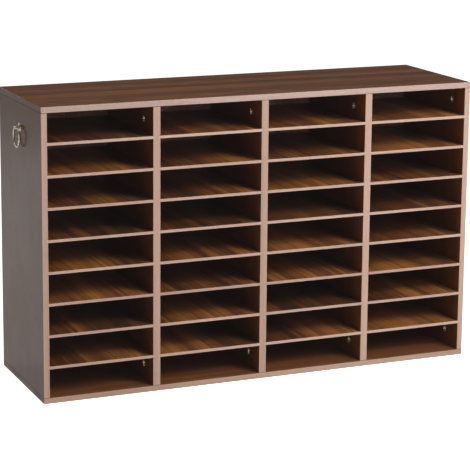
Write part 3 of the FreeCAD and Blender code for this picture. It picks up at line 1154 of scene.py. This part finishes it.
@dataclass
class Shelves:
    """The loose shelves, each a thin board with a band on its front edge."""

    finishes: Finishes
    band_thickness: float = 0.8 * MM
    edge_radius: float = 0.2 * MM
    edge_points: int = 2
    band_radius: float = 0.35 * MM
    band_points: int = 4
    edge_slope: float = 0.5

    def tree(self) -> NodeTree:
        """Build the tree that makes one shelf from its sizes.

        Returns:
            The tree. A shelf's place is the middle of its lower front edge.
        """
        lengths = ("Width", "Depth", "Thickness", "Band Thickness", "Edge Radius", "Band Radius")
        sockets = {"Geometry": GEOMETRY} | dict.fromkeys(lengths, FLOAT) | {"Place": VECTOR}
        sockets |= dict.fromkeys(("Laminate", "Core", "Band"), MATERIAL)
        graph = Graph.group("Banded shelf", Tree.GEOMETRY, sockets, {"Geometry": GEOMETRY})
        sizes = graph.source.outputs
        whole = graph.output("GeometryNodeRealizeInstances", {0: self.banded_board(graph)})
        facing = graph.split(graph.output("GeometryNodeInputNormal"))
        is_edge = graph.maths("LESS_THAN", graph.maths("ABSOLUTE", facing[2]), self.edge_slope)
        at_y = graph.split(graph.output("GeometryNodeInputPosition"))[1]
        front_y = graph.split(sizes["Place"])[1]
        is_band = graph.maths("LESS_THAN", graph.minus(at_y, front_y), sizes["Band Thickness"])
        for finish, chosen in (("Laminate", True), ("Core", is_edge), ("Band", is_band)):
            feeds = {"Geometry": whole, "Selection": chosen, "Material": sizes[finish]}
            whole = graph.output("GeometryNodeSetMaterial", feeds)
        graph.give("Geometry", whole)
        return graph.tree

    def banded_board(self, graph: Graph) -> Socket:
        """Add nodes for a board and the band on its front edge.

        Args:
            graph: The shelf's tree.

        Returns:
            The socket of the two solids, in their place.
        """
        sizes = graph.source.outputs
        thickness, band_thickness = sizes["Thickness"], sizes["Band Thickness"]
        middle = graph.times(thickness, 0.5)
        board = self.extruded(graph, (sizes["Width"], thickness), sizes["Edge Radius"],
                              self.edge_points, graph.combine(0.0, band_thickness, middle),
                              graph.combine(0.0, sizes["Depth"], middle))
        half_width = graph.times(sizes["Width"], 0.5)
        half_band = graph.times(band_thickness, 0.5)
        band = self.extruded(graph, (band_thickness, thickness), sizes["Band Radius"], self.band_points,
                             graph.combine(graph.times(half_width, -1.0), half_band, middle),
                             graph.combine(half_width, half_band, middle))
        joined = graph.add("GeometryNodeJoinGeometry", {0: band})
        graph.feed(joined.inputs[0], board)
        feeds = {0: joined.outputs[0], "Translation": sizes["Place"]}
        return graph.output("GeometryNodeTransform", feeds)

    def extruded(self, graph: Graph, size: tuple[Socket, Socket], radius: Socket, corner_points: int,
                 start: Socket, end: Socket) -> Socket:
        """Add nodes that push a rounded rectangle along a line.

        Args:
            graph: The tree.
            size: Width and height of the rectangle.
            radius: Radius of its corners.
            corner_points: Points on each rounded corner.
            start: Start of the line.
            end: End of the line.

        Returns:
            The socket of the closed solid.
        """
        feeds = {"Width": size[0], "Height": size[1]}
        outline = graph.output("GeometryNodeCurvePrimitiveQuadrilateral", feeds)
        feeds = {"Curve": outline, "Radius": radius, "Count": corner_points - 1}
        rounded = graph.output("GeometryNodeFilletCurve", feeds, mode="POLY")
        line = graph.output("GeometryNodeCurvePrimitiveLine", {"Start": start, "End": end})
        feeds = {"Curve": line, "Profile Curve": rounded, "Fill Caps": True}
        return graph.output("GeometryNodeCurveToMesh", feeds)

    def build(self) -> list[Piece]:
        """Make one shelf on each shelf body.

        Returns:
            The shelves.
        """
        tree = self.tree()
        pieces = []
        for node in sorted(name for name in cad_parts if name.startswith("shelf_col")):
            low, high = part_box(node)
            piece = add_object(f"{node}_board", bpy.data.meshes.new(node))
            run_tree(tree, piece, {
                "Width": high.x - low.x,
                "Depth": high.y - low.y,
                "Thickness": high.z - low.z,
                "Band Thickness": self.band_thickness,
                "Edge Radius": self.edge_radius,
                "Band Radius": self.band_radius,
                "Place": ((low.x + high.x) / 2, low.y, low.z),
                # The shelf's top takes the lighter copy of the print, which paints in light.
                "Laminate": self.finishes.lit_inner_laminate[Grain.ALONG_DEPTH],
                "Core": self.finishes.core,
                # The shelf band's lighter copy paints in light.
                "Band": self.finishes.lit_rose_shelf,
            })
            pieces.append(stand_for(piece, node, node))
        return pieces


# ---------------------------------------------------------------- fittings


@dataclass(frozen=True)
class CamSize:
    """Sizes of a cam lock that fills its bore from the face of its board."""

    radius: float = 7.4 * MM
    sides: int = 40
    rim: float = 1.1 * MM
    bead_share: float = 0.35
    bead_steps: tuple[Span, ...] = ((0.7, -0.12), (0.3, -0.25), (0.0, -0.45))
    dish: float = 2.0 * MM
    dish_inset: float = -0.35
    slot_length: float = 8.0 * MM
    slot_width: float = 1.4 * MM
    slot_depth: float = 2.6 * MM
    arrow_share: float = 0.8
    arrow_reach: float = 0.68
    pocket_radius: float = 3.5 * MM
    pocket_sides: int = 24
    pocket_share: float = 1.3
    pocket_reach: float = 0.42
    recess: float = 0.2 * MM
    floor_gap: float = 0.2 * MM
    board_skin: float = 3.2 * MM


@dataclass
class Fittings:
    """Cam locks, which show in the boards, and the bolts and dowels inside them."""

    finishes: Finishes
    cam: CamSize = CamSize()
    setback: float = 57.0 * MM
    rise: float = 34.0 * MM
    turn_spread: float = 4.0
    seed: int = 5
    smooth_angle: float = 32.0

    def cam_tree(self) -> NodeTree:
        """Build the tree of one cam: a rimmed disc with a crossed slot, an arrow and a pocket.

        Returns:
            The tree. The cam's face is at the origin and looks along +Z.
        """
        sizes = {
            "Radius": self.cam.radius,
            "Rim": self.cam.rim,
            "Dish": self.cam.dish,
            "Slot Length": self.cam.slot_length,
            "Slot Width": self.cam.slot_width,
            "Slot Depth": self.cam.slot_depth,
            "Pocket Radius": self.cam.pocket_radius,
        }
        sockets = dict.fromkeys((*sizes, "Length", "Pocket Depth"), FLOAT)
        graph = Graph.group("Cam lock", Tree.GEOMETRY, sockets, {"Geometry": GEOMETRY}, sizes)
        shape = self.rimmed_disc(graph)
        for tool in self.cutters(graph):
            cut = graph.add("GeometryNodeMeshBoolean", operation="DIFFERENCE", solver="EXACT")
            graph.feed(cut.inputs["Mesh 1"], shape)
            graph.feed(cut.inputs["Mesh 2"], tool)
            shape = cut.outputs["Mesh"]
        graph.give("Geometry", shape)
        return graph.tree

    def rimmed_disc(self, graph: Graph) -> Socket:
        """Add nodes that raise a rounded rim on a disc and sink a dish inside it.

        Args:
            graph: The cam's tree.

        Returns:
            The socket of the solid.
        """
        sizes = graph.source.outputs
        bead = graph.times(sizes["Rim"], self.cam.bead_share)
        disc = graph.add("GeometryNodeMeshCylinder", {
            "Vertices": self.cam.sides,
            "Radius": sizes["Radius"],
            "Depth": graph.minus(sizes["Length"], bead),
        }).outputs
        lowered = graph.times(graph.plus(sizes["Length"], bead), -0.5)
        shape = graph.output("GeometryNodeTransform", {
            "Geometry": disc["Mesh"],
            "Translation": graph.combine(0.0, 0.0, lowered),
        })
        top = disc["Top"]
        shrink = graph.over(sizes["Rim"], sizes["Radius"])
        steps = [(graph.times(bead, rise), inset) for rise, inset in self.cam.bead_steps]
        steps.append((graph.times(sizes["Dish"], -1.0), self.cam.dish_inset))
        for rise, inset in steps:
            pushed = graph.add("GeometryNodeExtrudeMesh", {
                "Mesh": shape,
                "Selection": top,
                "Offset": graph.combine(0.0, 0.0, rise),
                "Offset Scale": 1.0,
                "Individual": False,
            }).outputs
            top = pushed["Top"]
            shape = graph.output("GeometryNodeScaleElements", {
                "Geometry": pushed["Mesh"],
                "Selection": top,
                "Scale": graph.times_plus(shrink, inset, 1.0),
            })
        return shape

    def cutters(self, graph: Graph) -> tuple[Socket, ...]:
        """Add nodes for the shapes that are cut out of a cam.

        Args:
            graph: The cam's tree.

        Returns:
            The sockets of the two slots, the arrow and the pocket for the bolt's head.
        """
        sizes = graph.source.outputs
        cam = self.cam
        cut_depth = graph.times(sizes["Slot Depth"], 2.0)
        slots = []
        for x, y in (("Slot Length", "Slot Width"), ("Slot Width", "Slot Length")):
            size = graph.combine(sizes[x], sizes[y], cut_depth)
            slots.append(graph.output("GeometryNodeMeshCube", {"Size": size}))
        arrow = graph.output("GeometryNodeMeshCylinder", {
            "Vertices": 3,
            "Radius": graph.times(sizes["Rim"], cam.arrow_share),
            "Depth": cut_depth,
        })
        arrow = graph.output("GeometryNodeTransform", {
            "Geometry": arrow,
            "Translation": graph.combine(graph.times(sizes["Radius"], cam.arrow_reach), 0.0, 0.0),
        })
        pocket = graph.output("GeometryNodeMeshCylinder", {
            "Vertices": cam.pocket_sides,
            "Radius": sizes["Pocket Radius"],
            "Depth": graph.times(sizes["Radius"], cam.pocket_share),
        })
        pocket = graph.output("GeometryNodeTransform", {
            "Geometry": pocket,
            "Translation": graph.combine(graph.times(sizes["Radius"], cam.pocket_reach), 0.0,
                                         graph.times(sizes["Pocket Depth"], -1.0)),
            "Rotation": (0.0, math.pi / 2, 0.0),
        })
        return (*slots, arrow, pocket)

    def set_tree(self) -> NodeTree:
        """Build the tree that sets cams at marked points, deeper ones where the board is thicker.

        Returns:
            The tree. It reads the points' attributes `turn` and `in_side`.
        """
        lengths = ("Divider Length", "Divider Pocket", "Side Length", "Side Pocket", "Turn Spread")
        sockets = {"Geometry": GEOMETRY} | dict.fromkeys(lengths, FLOAT)
        sockets |= {"Seed": INTEGER, "Metal": MATERIAL}
        graph = Graph.group("Cam lock set", Tree.GEOMETRY, sockets, {"Geometry": GEOMETRY})
        inputs = graph.source.outputs
        cam = self.cam_tree()
        rotation = self.rotation(graph)
        in_side = graph.attribute("in_side", "BOOLEAN")
        in_divider = graph.output("FunctionNodeBooleanMath", {0: in_side}, operation="NOT")
        joined = graph.add("GeometryNodeJoinGeometry")
        for board, chosen in (("Divider", in_divider), ("Side", in_side)):
            feeds = {"Length": inputs[f"{board} Length"], "Pocket Depth": inputs[f"{board} Pocket"]}
            copies = graph.output("GeometryNodeInstanceOnPoints", {
                "Points": inputs["Geometry"],
                "Selection": chosen,
                "Instance": graph.use(cam, feeds).outputs[0],
                "Rotation": rotation,
            })
            graph.feed(joined.inputs[0], copies)
        whole = graph.output("GeometryNodeRealizeInstances", {0: joined.outputs[0]})
        whole = graph.output("GeometryNodeSetMaterial", {0: whole, "Material": inputs["Metal"]})
        graph.give("Geometry", whole)
        return graph.tree

    def rotation(self, graph: Graph) -> Socket:
        """Add nodes that lay each cam in its bore, turned a little more or less, as by hand.

        Args:
            graph: The tree of the set.

        Returns:
            The socket of the rotation.
        """
        inputs = graph.source.outputs
        turn = graph.attribute("turn", "FLOAT_VECTOR")
        lies = graph.output("FunctionNodeEulerToRotation", {0: turn})
        spread = graph.add("FunctionNodeRandomValue", {"Seed": inputs["Seed"]}, data_type="FLOAT")
        least, most = spread.inputs[2], spread.inputs[3]
        graph.feed(least, graph.times(inputs["Turn Spread"], -1.0))
        graph.feed(most, inputs["Turn Spread"])
        by_hand = graph.combine(0.0, 0.0, spread.outputs[1])
        by_hand = graph.output("FunctionNodeEulerToRotation", {0: by_hand})
        return graph.output("FunctionNodeRotateRotation", {0: lies, 1: by_hand}, rotation_space="LOCAL")

    def marked_points(self) -> bpy.types.Mesh:
        """Mark where the cams sit, which way they face and which kind of board holds them.

        Returns:
            A mesh of points with the attributes `turn` and `in_side`.
        """
        floor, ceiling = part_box("bottom_panel")[1].z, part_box("top_panel")[0].z
        front, back = CAD_BOX[0][1], CAD_BOX[1][1]
        places, turns, in_side = [], [], []
        for node in UPRIGHTS:
            low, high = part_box(node)
            facing = 1 if node == UPRIGHTS[0] else -1
            face = (high.x if facing > 0 else low.x) - facing * self.cam.recess
            for end, up in ((floor, 1), (ceiling, -1)):
                outwards = Vector((facing, 0, 0))
                to_bolt = Vector((0, 0, -up))
                lies = Matrix((to_bolt, outwards.cross(to_bolt), outwards)).transposed()
                for y in (front + self.setback, back - self.setback):
                    places.append((face, y, end + up * self.rise))
                    turns.append(tuple(lies.to_euler()))
                    in_side.append("side" in node)
        mesh = bpy.data.meshes.new("cam_places")
        mesh.from_pydata(places, [], [])
        turn = mesh.attributes.new("turn", "FLOAT_VECTOR", "POINT")
        turn.data.foreach_set("vector", [part for euler in turns for part in euler])
        side = mesh.attributes.new("in_side", "BOOLEAN", "POINT")
        side.data.foreach_set("value", in_side)
        return mesh

    def depths(self, node: str) -> tuple[float, float]:
        """Depths of a cam in its board.

        Args:
            node: The board's node.

        Returns:
            The cam's length, and how deep the middle of the board lies under its face.
        """
        low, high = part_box(node)
        thickness = high.x - low.x
        length = thickness - self.cam.board_skin - self.cam.recess - self.cam.floor_gap
        return length, thickness / 2 - self.cam.recess

    def build(self) -> list[Piece]:
        """Make the set of cams and dress the hidden bolts and dowels.

        Returns:
            The set. The bolts and dowels keep their own meshes.
        """
        cams = add_object("cam_lock_set", self.marked_points())
        divider_length, divider_pocket = self.depths("divider_1")
        side_length, side_pocket = self.depths("left_side_panel")
        run_tree(self.set_tree(), cams, {
            "Divider Length": divider_length,
            "Divider Pocket": divider_pocket,
            "Side Length": side_length,
            "Side Pocket": side_pocket,
            "Turn Spread": math.radians(self.turn_spread),
            "Seed": self.seed,
            "Metal": self.finishes.zinc,
        })
        cams.data.shade_smooth()
        cams.data.set_sharp_from_angle(angle=math.radians(self.smooth_angle))
        self.repaint("cam_bolts", self.finishes.zinc)
        self.repaint("wood_dowels", self.finishes.beech)
        return [stand_for(cams, "cam_locks", CARCASS_BODY)]

    def repaint(self, node: str, finish: Material) -> None:
        """Give a node that keeps its own mesh a better material."""
        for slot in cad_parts[node].material_slots:
            slot.material = finish


# ---------------------------------------------------------------- ring pulls


class Side(Enum):
    """Side of the sorter that a ring pull is on, with the way it faces along X."""

    LEFT = -1
    RIGHT = 1


@dataclass(frozen=True)
class RosetteSize:
    """Sizes of the turned steps on a rosette, inwards from its edge and up from its panel."""

    hole_clearance: float = 0.1 * MM
    foot: float = 0.15 * MM
    rim: float = 1.2 * MM
    rim_radius: float = 0.45 * MM
    groove_inset: float = 1.15 * MM
    groove_half: float = 0.25 * MM
    groove_depth: float = 0.2 * MM
    dome_foot: float = 1.5 * MM
    dome_top: float = 5.6 * MM
    collar_radius: float = 3.5 * MM
    collar_half: float = 0.2 * MM
    collar_depth: float = 0.15 * MM
    rim_steps: int = 4
    dome_steps: int = 8
    sides: int = 64
    smooth_angle: float = 24.0


@dataclass
class RingPull:
    """A ring pull: a turned rosette, a post with an eye, and a ring that swings in it."""

    side: Side
    finishes: Finishes
    step: RosetteSize = RosetteSize()
    stud_radius: float = 2.0 * MM
    stud_length: float = 9.0 * MM
    stud_chamfer: float = 0.4 * MM
    neck_radius: float = 2.6 * MM
    flare: float = 0.5 * MM
    flare_foot: float = 0.3 * MM
    flare_top: float = 0.9 * MM
    bore: float = 2.05 * MM
    eye_radius: float = 4.2 * MM
    eye_width: float = 7.0 * MM
    eye_rounding: float = 1.6 * MM
    eye_steps: int = 6
    eye_standoff: float = 7.6 * MM
    post_sides: int = 40
    post_smooth_angle: float = 35.0
    rod_radius: float = 2.0 * MM
    rod_sides: int = 24
    ring_radius: float = 21.0 * MM
    ring_corner: float = 8.0 * MM
    corner_steps: int = 4
    bow_steps: int = 72
    pin_half: float = 3.9 * MM
    ring_smooth_angle: float = 60.0
    prefix: str = field(init=False)
    panel_x: float = field(init=False)
    height: float = field(init=False)
    rosette_radius: float = field(init=False)
    rosette_height: float = field(init=False)

    def __post_init__(self) -> None:
        """Read the rosette's place and size from the frame."""
        self.prefix = f"{self.side.name.lower()}_handle"
        low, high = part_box(f"{self.prefix}_rosette")
        self.panel_x = high.x if self.side is Side.LEFT else low.x
        self.height = (low.z + high.z) / 2
        self.rosette_radius = (high.z - low.z) / 2
        self.rosette_height = high.x - low.x

    def placed(self, shape: Shape) -> Shape:
        """Set a shape made outwards along +Z, with +X up, on this side's panel.

        Args:
            shape: The shape, which is moved.

        Returns:
            The same shape.
        """
        facing = self.side.value
        place = Matrix((
            (0, 0, facing, self.panel_x),
            (0, 1, 0, 0),
            (1, 0, 0, self.height),
            (0, 0, 0, 1),
        ))
        bmesh.ops.transform(shape, matrix=place, verts=shape.verts)
        if place.to_3x3().determinant() < 0:
            bmesh.ops.reverse_faces(shape, faces=shape.faces)
        return shape

    def rosette(self) -> Piece:
        """Turn the stepped rosette: a foot, a grooved rim, a dome and a grooved collar.

        Returns:
            The piece that stands for it.
        """
        step, radius, height = self.step, self.rosette_radius, self.rosette_height
        hole = self.stud_radius + step.hole_clearance
        profile = [(hole, 0.0), (radius - step.foot, 0.0), (radius, step.foot)]
        profile += arc_points((radius - step.rim_radius, step.rim - step.rim_radius), step.rim_radius,
                              0.0, 90.0, step.rim_steps)
        groove = radius - step.groove_inset
        profile += [(groove + step.groove_half, step.rim), (groove, step.rim - step.groove_depth),
                    (groove - step.groove_half, step.rim)]
        dome_outer, dome_inner = radius - step.dome_foot, radius - step.dome_top
        for index in range(step.dome_steps + 1):
            turn = math.radians(90.0 * index / step.dome_steps)
            profile.append((dome_inner + (dome_outer - dome_inner) * math.cos(turn),
                            step.rim + (height - step.rim) * math.sin(turn)))
        profile += [(step.collar_radius + step.collar_half, height),
                    (step.collar_radius, height - step.collar_depth),
                    (step.collar_radius - step.collar_half, height), (hole, height)]
        shape = self.placed(lathe(profile, step.sides))
        return self.finished(shape, "rosette", CARCASS_BODY, step.smooth_angle)

    def stem_profile(self) -> Outline:
        """Draw the outline of the post, from its stud in the panel to the middle of its eye.

        Returns:
            The points as (radius, height).
        """
        chamfer, base = self.stud_chamfer, self.rosette_height
        flare = self.neck_radius + self.flare
        return [(0.0, -self.stud_length), (self.stud_radius - chamfer, -self.stud_length),
                (self.stud_radius, -self.stud_length + chamfer), (self.stud_radius, base),
                (flare, base), (flare, base + self.flare_foot),
                (self.neck_radius, base + self.flare_top), (self.neck_radius, self.eye_standoff),
                (0.0, self.eye_standoff)]

    def eye_profile(self) -> Outline:
        """Draw the outline of the eye, a barrel with rounded ends and no bore as yet.

        Returns:
            The points as (radius, height).
        """
        half, rounding = self.eye_width / 2, self.eye_rounding
        shoulder = self.eye_radius - rounding
        profile = [(0.0, -half), (shoulder, -half)]
        profile += arc_points((shoulder, -half + rounding), rounding, -90.0, 0.0, self.eye_steps)
        profile += arc_points((shoulder, half - rounding), rounding, 0.0, 90.0, self.eye_steps)
        return profile + [(0.0, half)]

    def post(self) -> Piece:
        """Turn the post and its eye, and join them round the ring's bore.

        Returns:
            The piece that stands for the post.
        """
        reach = self.eye_width
        bore = [(0.0, -reach), (self.bore, -reach), (self.bore, reach), (0.0, reach)]
        whole = self.turned_piece(self.stem_profile(), "stem")
        for name, profile, operation in (("eye_blank", self.eye_profile(), "UNION"),
                                         ("eye_bore", bore, "DIFFERENCE")):
            tool = self.turned_piece(profile, name, across=True)
            cut = whole.modifiers.new(name, "BOOLEAN")
            cut.operation = operation
            cut.solver = "EXACT"
            cut.object = tool
            whole.data = evaluated_mesh(whole)
            whole.modifiers.clear()
            bpy.data.objects.remove(tool)
        shape = self.placed(taken_out(whole))
        return self.finished(shape, "post", CARCASS_BODY, self.post_smooth_angle)

    def turned_piece(self, profile: Outline, name: str, across: bool = False) -> Piece:
        """Turn a profile on the post's axis, or across it through the eye.

        Args:
            profile: The closed outline.
            name: Last word of the piece's name.
            across: Whether the piece lies across the post.

        Returns:
            The piece, with no material.
        """
        shape = lathe(profile, self.post_sides)
        if across:
            turn = Matrix.Translation((0, 0, self.eye_standoff)) @ Matrix.Rotation(math.pi / 2, 4, "X")
            bmesh.ops.transform(shape, matrix=turn, verts=shape.verts)
        return finish_mesh(shape, f"{self.prefix}_{name}", [])

    def ring_path(self) -> list[Point]:
        """Draw the ring's middle line: a straight pin, two corners and a round bow.

        Returns:
            Its points, from one end of the pin to the other.
        """
        reach = self.ring_radius - self.ring_corner
        bend = math.asin(self.pin_half / reach)
        corner_x = math.cos(bend) * reach
        turned, full = math.degrees(bend), 360.0
        corner = arc_points((corner_x, self.pin_half), self.ring_corner, 0.0, turned, self.corner_steps)
        bow = arc_points((0.0, 0.0), self.ring_radius, turned, full - turned, self.bow_steps)
        other = arc_points((corner_x, -self.pin_half), self.ring_corner, full - turned, full,
                           self.corner_steps)
        pin_x = corner_x + self.ring_corner
        return [(x - pin_x, y, self.eye_standoff) for x, y in corner + bow[1:] + other[1:]]

    def ring_tree(self) -> NodeTree:
        """Build the tree that gives a closed path its round rod.

        Returns:
            The tree.
        """
        sockets = {"Geometry": GEOMETRY, "Rod Radius": FLOAT, "Rod Sides": INTEGER, "Metal": MATERIAL}
        graph = Graph.group("Bent rod", Tree.GEOMETRY, sockets, {"Geometry": GEOMETRY})
        inputs = graph.source.outputs
        path = graph.output("GeometryNodeMeshToCurve", {"Mesh": inputs["Geometry"]})
        section = graph.output("GeometryNodeCurvePrimitiveCircle", {
            "Resolution": inputs["Rod Sides"],
            "Radius": inputs["Rod Radius"],
        })
        rod = graph.output("GeometryNodeCurveToMesh", {"Curve": path, "Profile Curve": section})
        rod = graph.output("GeometryNodeRealizeInstances", {0: rod})
        rod = graph.output("GeometryNodeSetMaterial", {0: rod, "Material": inputs["Metal"]})
        graph.give("Geometry", rod)
        return graph.tree

    def ring(self) -> Piece:
        """Sweep the ring in its place in the eye.

        Returns:
            The piece that stands for it.
        """
        points = self.ring_path()
        steps = [(index, (index + 1) % len(points)) for index in range(len(points))]
        mesh = bpy.data.meshes.new(f"{self.prefix}_ring_path")
        mesh.from_pydata(points, steps, [])
        piece = add_object(f"{self.prefix}_ring_rod", mesh)
        run_tree(self.ring_tree(), piece, {
            "Rod Radius": self.rod_radius,
            "Rod Sides": self.rod_sides,
            "Metal": self.finishes.handle_metal,
        })
        shape = taken_out(piece)
        bmesh.ops.recalc_face_normals(shape, faces=shape.faces)
        return self.finished(self.placed(shape), "ring", f"{self.prefix}_ring", self.ring_smooth_angle)

    def finished(self, shape: Shape, part: str, body: str, smooth_angle: float) -> Piece:
        """Finish a part of the pull and put it on its body.

        Args:
            shape: Its mesh, in place.
            part: Last word of its node's name.
            body: The body that carries it.
            smooth_angle: Angle in degrees under which edges are smooth.

        Returns:
            The piece that stands for the node.
        """
        node = f"{self.prefix}_{part}"
        piece = finish_mesh(shape, f"{node}_metal", [self.finishes.handle_metal], smooth_angle)
        return stand_for(piece, node, body)

    def build(self) -> list[Piece]:
        """Make the three parts of the pull."""
        return [self.rosette(), self.post(), self.ring()]


# ---------------------------------------------------------------- studio


@dataclass(frozen=True)
class Softbox:
    """A soft rectangular light that looks at a point, with its power in watts."""

    name: str
    place: Point
    aim: Point
    size: Span
    power: float
    colour: Colour = WHITE

    def build(self) -> None:
        """Hang the light."""
        light = bpy.data.lights.new(self.name, "AREA")
        light.shape = "RECTANGLE"
        light.size, light.size_y = self.size
        light.energy = self.power
        light.color = self.colour
        lamp = bpy.data.objects.new(self.name, light)
        lamp.location = self.place
        gaze = Vector(self.aim) - Vector(self.place)
        lamp.rotation_euler = gaze.to_track_quat("-Z", "Y").to_euler()
        bpy.context.scene.collection.objects.link(lamp)


@dataclass(frozen=True)
class Viewpoint:
    """The camera: above and to the left of the open front. Angles are degrees."""

    place: Point = (-1.62252, -3.74554, 1.24543)
    heading: float = -22.4253
    pitch: float = -11.2003
    roll: float = -0.3125
    lens: float = 143.46
    sensor: float = 36.0
    shift: Span = (0.0638, -0.1383)

    def build(self) -> None:
        """Set the camera up and look through it."""
        camera = bpy.data.cameras.new("studio_camera")
        camera.lens = self.lens
        camera.sensor_width = self.sensor
        camera.shift_x, camera.shift_y = self.shift
        holder = bpy.data.objects.new("studio_camera", camera)
        turn = (Matrix.Rotation(math.radians(self.heading), 4, "Z")
                @ Matrix.Rotation(math.radians(self.pitch), 4, "X")
                @ Matrix.Rotation(math.radians(self.roll), 4, "Y"))
        level = Matrix.Rotation(math.pi / 2, 4, "X")
        holder.matrix_world = Matrix.Translation(self.place) @ turn @ level
        bpy.context.scene.collection.objects.link(holder)
        bpy.context.scene.camera = holder


SORTER_MIDDLE = (0.0, 0.0, 0.3)
KEY_WHITE = (1.03, 1.0, 0.99)
COOL = (0.88, 1.0, 1.13)
COOLER = (0.86, 1.0, 1.13)
WARM = (1.14, 0.95, 0.78)
WARMER = (1.16, 0.95, 0.76)

LIGHTS = (
    Softbox("key_softbox", (1.6, -2.6, 2.6), SORTER_MIDDLE, (1.6, 1.2), 74.0, KEY_WHITE),
    Softbox("low_key_softbox", (0.85, -1.7, 1.2), (0.25, 0.0, 0.3), (1.0, 0.8), 19.2, COOL),
    Softbox("steep_softbox", (0.65, -0.9, 2.0), (0.15, 0.0, 0.3), (1.2, 0.7), 5.5, COOLER),
    Softbox("front_high_softbox", (-0.4, -1.8, 2.0), SORTER_MIDDLE, (1.2, 1.0), 5.5, WARM),
    Softbox("top_softbox", (0.5, 0.35, 2.4), (0.2, 0.1, 0.0), (1.2, 0.8), 10.0),
    Softbox("front_softbox", (-0.7, -4.0, 0.85), (0.0, 0.0, 0.4), (2.0, 0.5), 11.0, WARMER),
    Softbox("front_left_softbox", (-2.4, -2.2, 1.0), SORTER_MIDDLE, (0.35, 0.5), 3.0, WARM),
    Softbox("ring_softbox", (-1.9, -0.3, 0.75), (-0.5, 0.0, 0.5), (0.25, 0.4), 1.8),
    Softbox("overhead_softbox", (-1.2, 0.3, 2.6), (-0.6, 0.2, 0.0), (1.8, 1.8), 15.0),
    Softbox("rim_softbox", (-1.6, 2.8, 0.9), (-0.5, 0.0, 0.5), (0.5, 0.5), 5.0),
    Softbox("ground_softbox", (-1.3, 1.8, 1.4), (-1.3, 1.8, 0.0), (1.2, 1.2), 1.1),
)


@dataclass(frozen=True)
class Studio:
    """A plain pale floor, soft lights and the camera."""

    floor_half: float = 9.0
    floor_drop: float = 0.2 * MM
    floor_colour: Colour = (0.93, 0.93, 0.93)
    floor_roughness: float = 0.9
    floor_specular: float = 0.1
    floor_glow: float = 0.27
    floor_white: float = 0.68
    ambient: float = 0.06
    veil: float = 0.0045

    def floor(self) -> Piece:
        """Lay the floor, which can be looked through from below.

        Returns:
            The floor. It glows more to the camera than to the scene, which makes it white.
        """
        half, z = self.floor_half, -self.floor_drop
        mesh = bpy.data.meshes.new("studio_floor")
        mesh.from_pydata([(-half, -half, z), (half, -half, z), (half, half, z), (-half, half, z)], [],
                         [(0, 1, 2, 3)])
        surface = Surface("studio_floor_paint")
        graph = surface.graph
        seen = graph.add("ShaderNodeLightPath").outputs["Is Camera Ray"]
        surface.feed(Base_Color=opaque(self.floor_colour), Roughness=self.floor_roughness,
                     Specular_IOR_Level=self.floor_specular, Emission_Color=opaque(WHITE),
                     Emission_Strength=graph.times_plus(seen, self.floor_white, self.floor_glow))
        from_below = graph.add("ShaderNodeNewGeometry").outputs["Backfacing"]
        clear = graph.output("ShaderNodeBsdfTransparent")
        feeds = {0: from_below, 1: surface.shader.outputs[0], 2: clear}
        graph.feed(surface.end.inputs[0], graph.output("ShaderNodeMixShader", feeds))
        mesh.materials.append(surface.material)
        return add_object("studio_floor", mesh)

    def surroundings(self) -> None:
        """Light the scene faintly from round about, in front of a white ground."""
        world = bpy.data.worlds.new("studio_world")
        world.use_nodes = True
        world.node_tree.nodes.clear()
        graph = Graph(world.node_tree)
        seen = graph.add("ShaderNodeLightPath").outputs["Is Camera Ray"]
        strength = graph.maths("MAXIMUM", self.ambient, seen)
        ground = graph.output("ShaderNodeBackground", {"Color": opaque(WHITE), "Strength": strength})
        graph.add("ShaderNodeOutputWorld", {0: ground})
        bpy.context.scene.world = world

    def build(self) -> list[Piece]:
        """Set up the studio, and show colours as they are but for a faint veil on the darkest.

        Returns:
            The floor.
        """
        floor = self.floor()
        self.surroundings()
        for light in LIGHTS:
            light.build()
        Viewpoint().build()
        view = bpy.context.scene.view_settings
        view.view_transform = "Standard"
        view.use_curve_mapping = True
        view.curve_mapping.black_level = (-self.veil,) * 3
        view.curve_mapping.update()
        return [floor]


# ---------------------------------------------------------------- the whole


def main() -> None:
    """Dress the sorter piece by piece and set up the studio."""
    logging.basicConfig(level=logging.INFO, format="%(name)s: %(message)s")
    finishes = Finishes()
    assemblies = [
        Carcass(finishes),
        Shelves(finishes),
        Fittings(finishes),
        RingPull(Side.LEFT, finishes),
        RingPull(Side.RIGHT, finishes),
        Studio(),
    ]
    for assembly in assemblies:
        for piece in assembly.build():
            LOG.info("%s: %d faces", piece.name, len(piece.data.polygons))


if __name__ == "__main__":
    main()
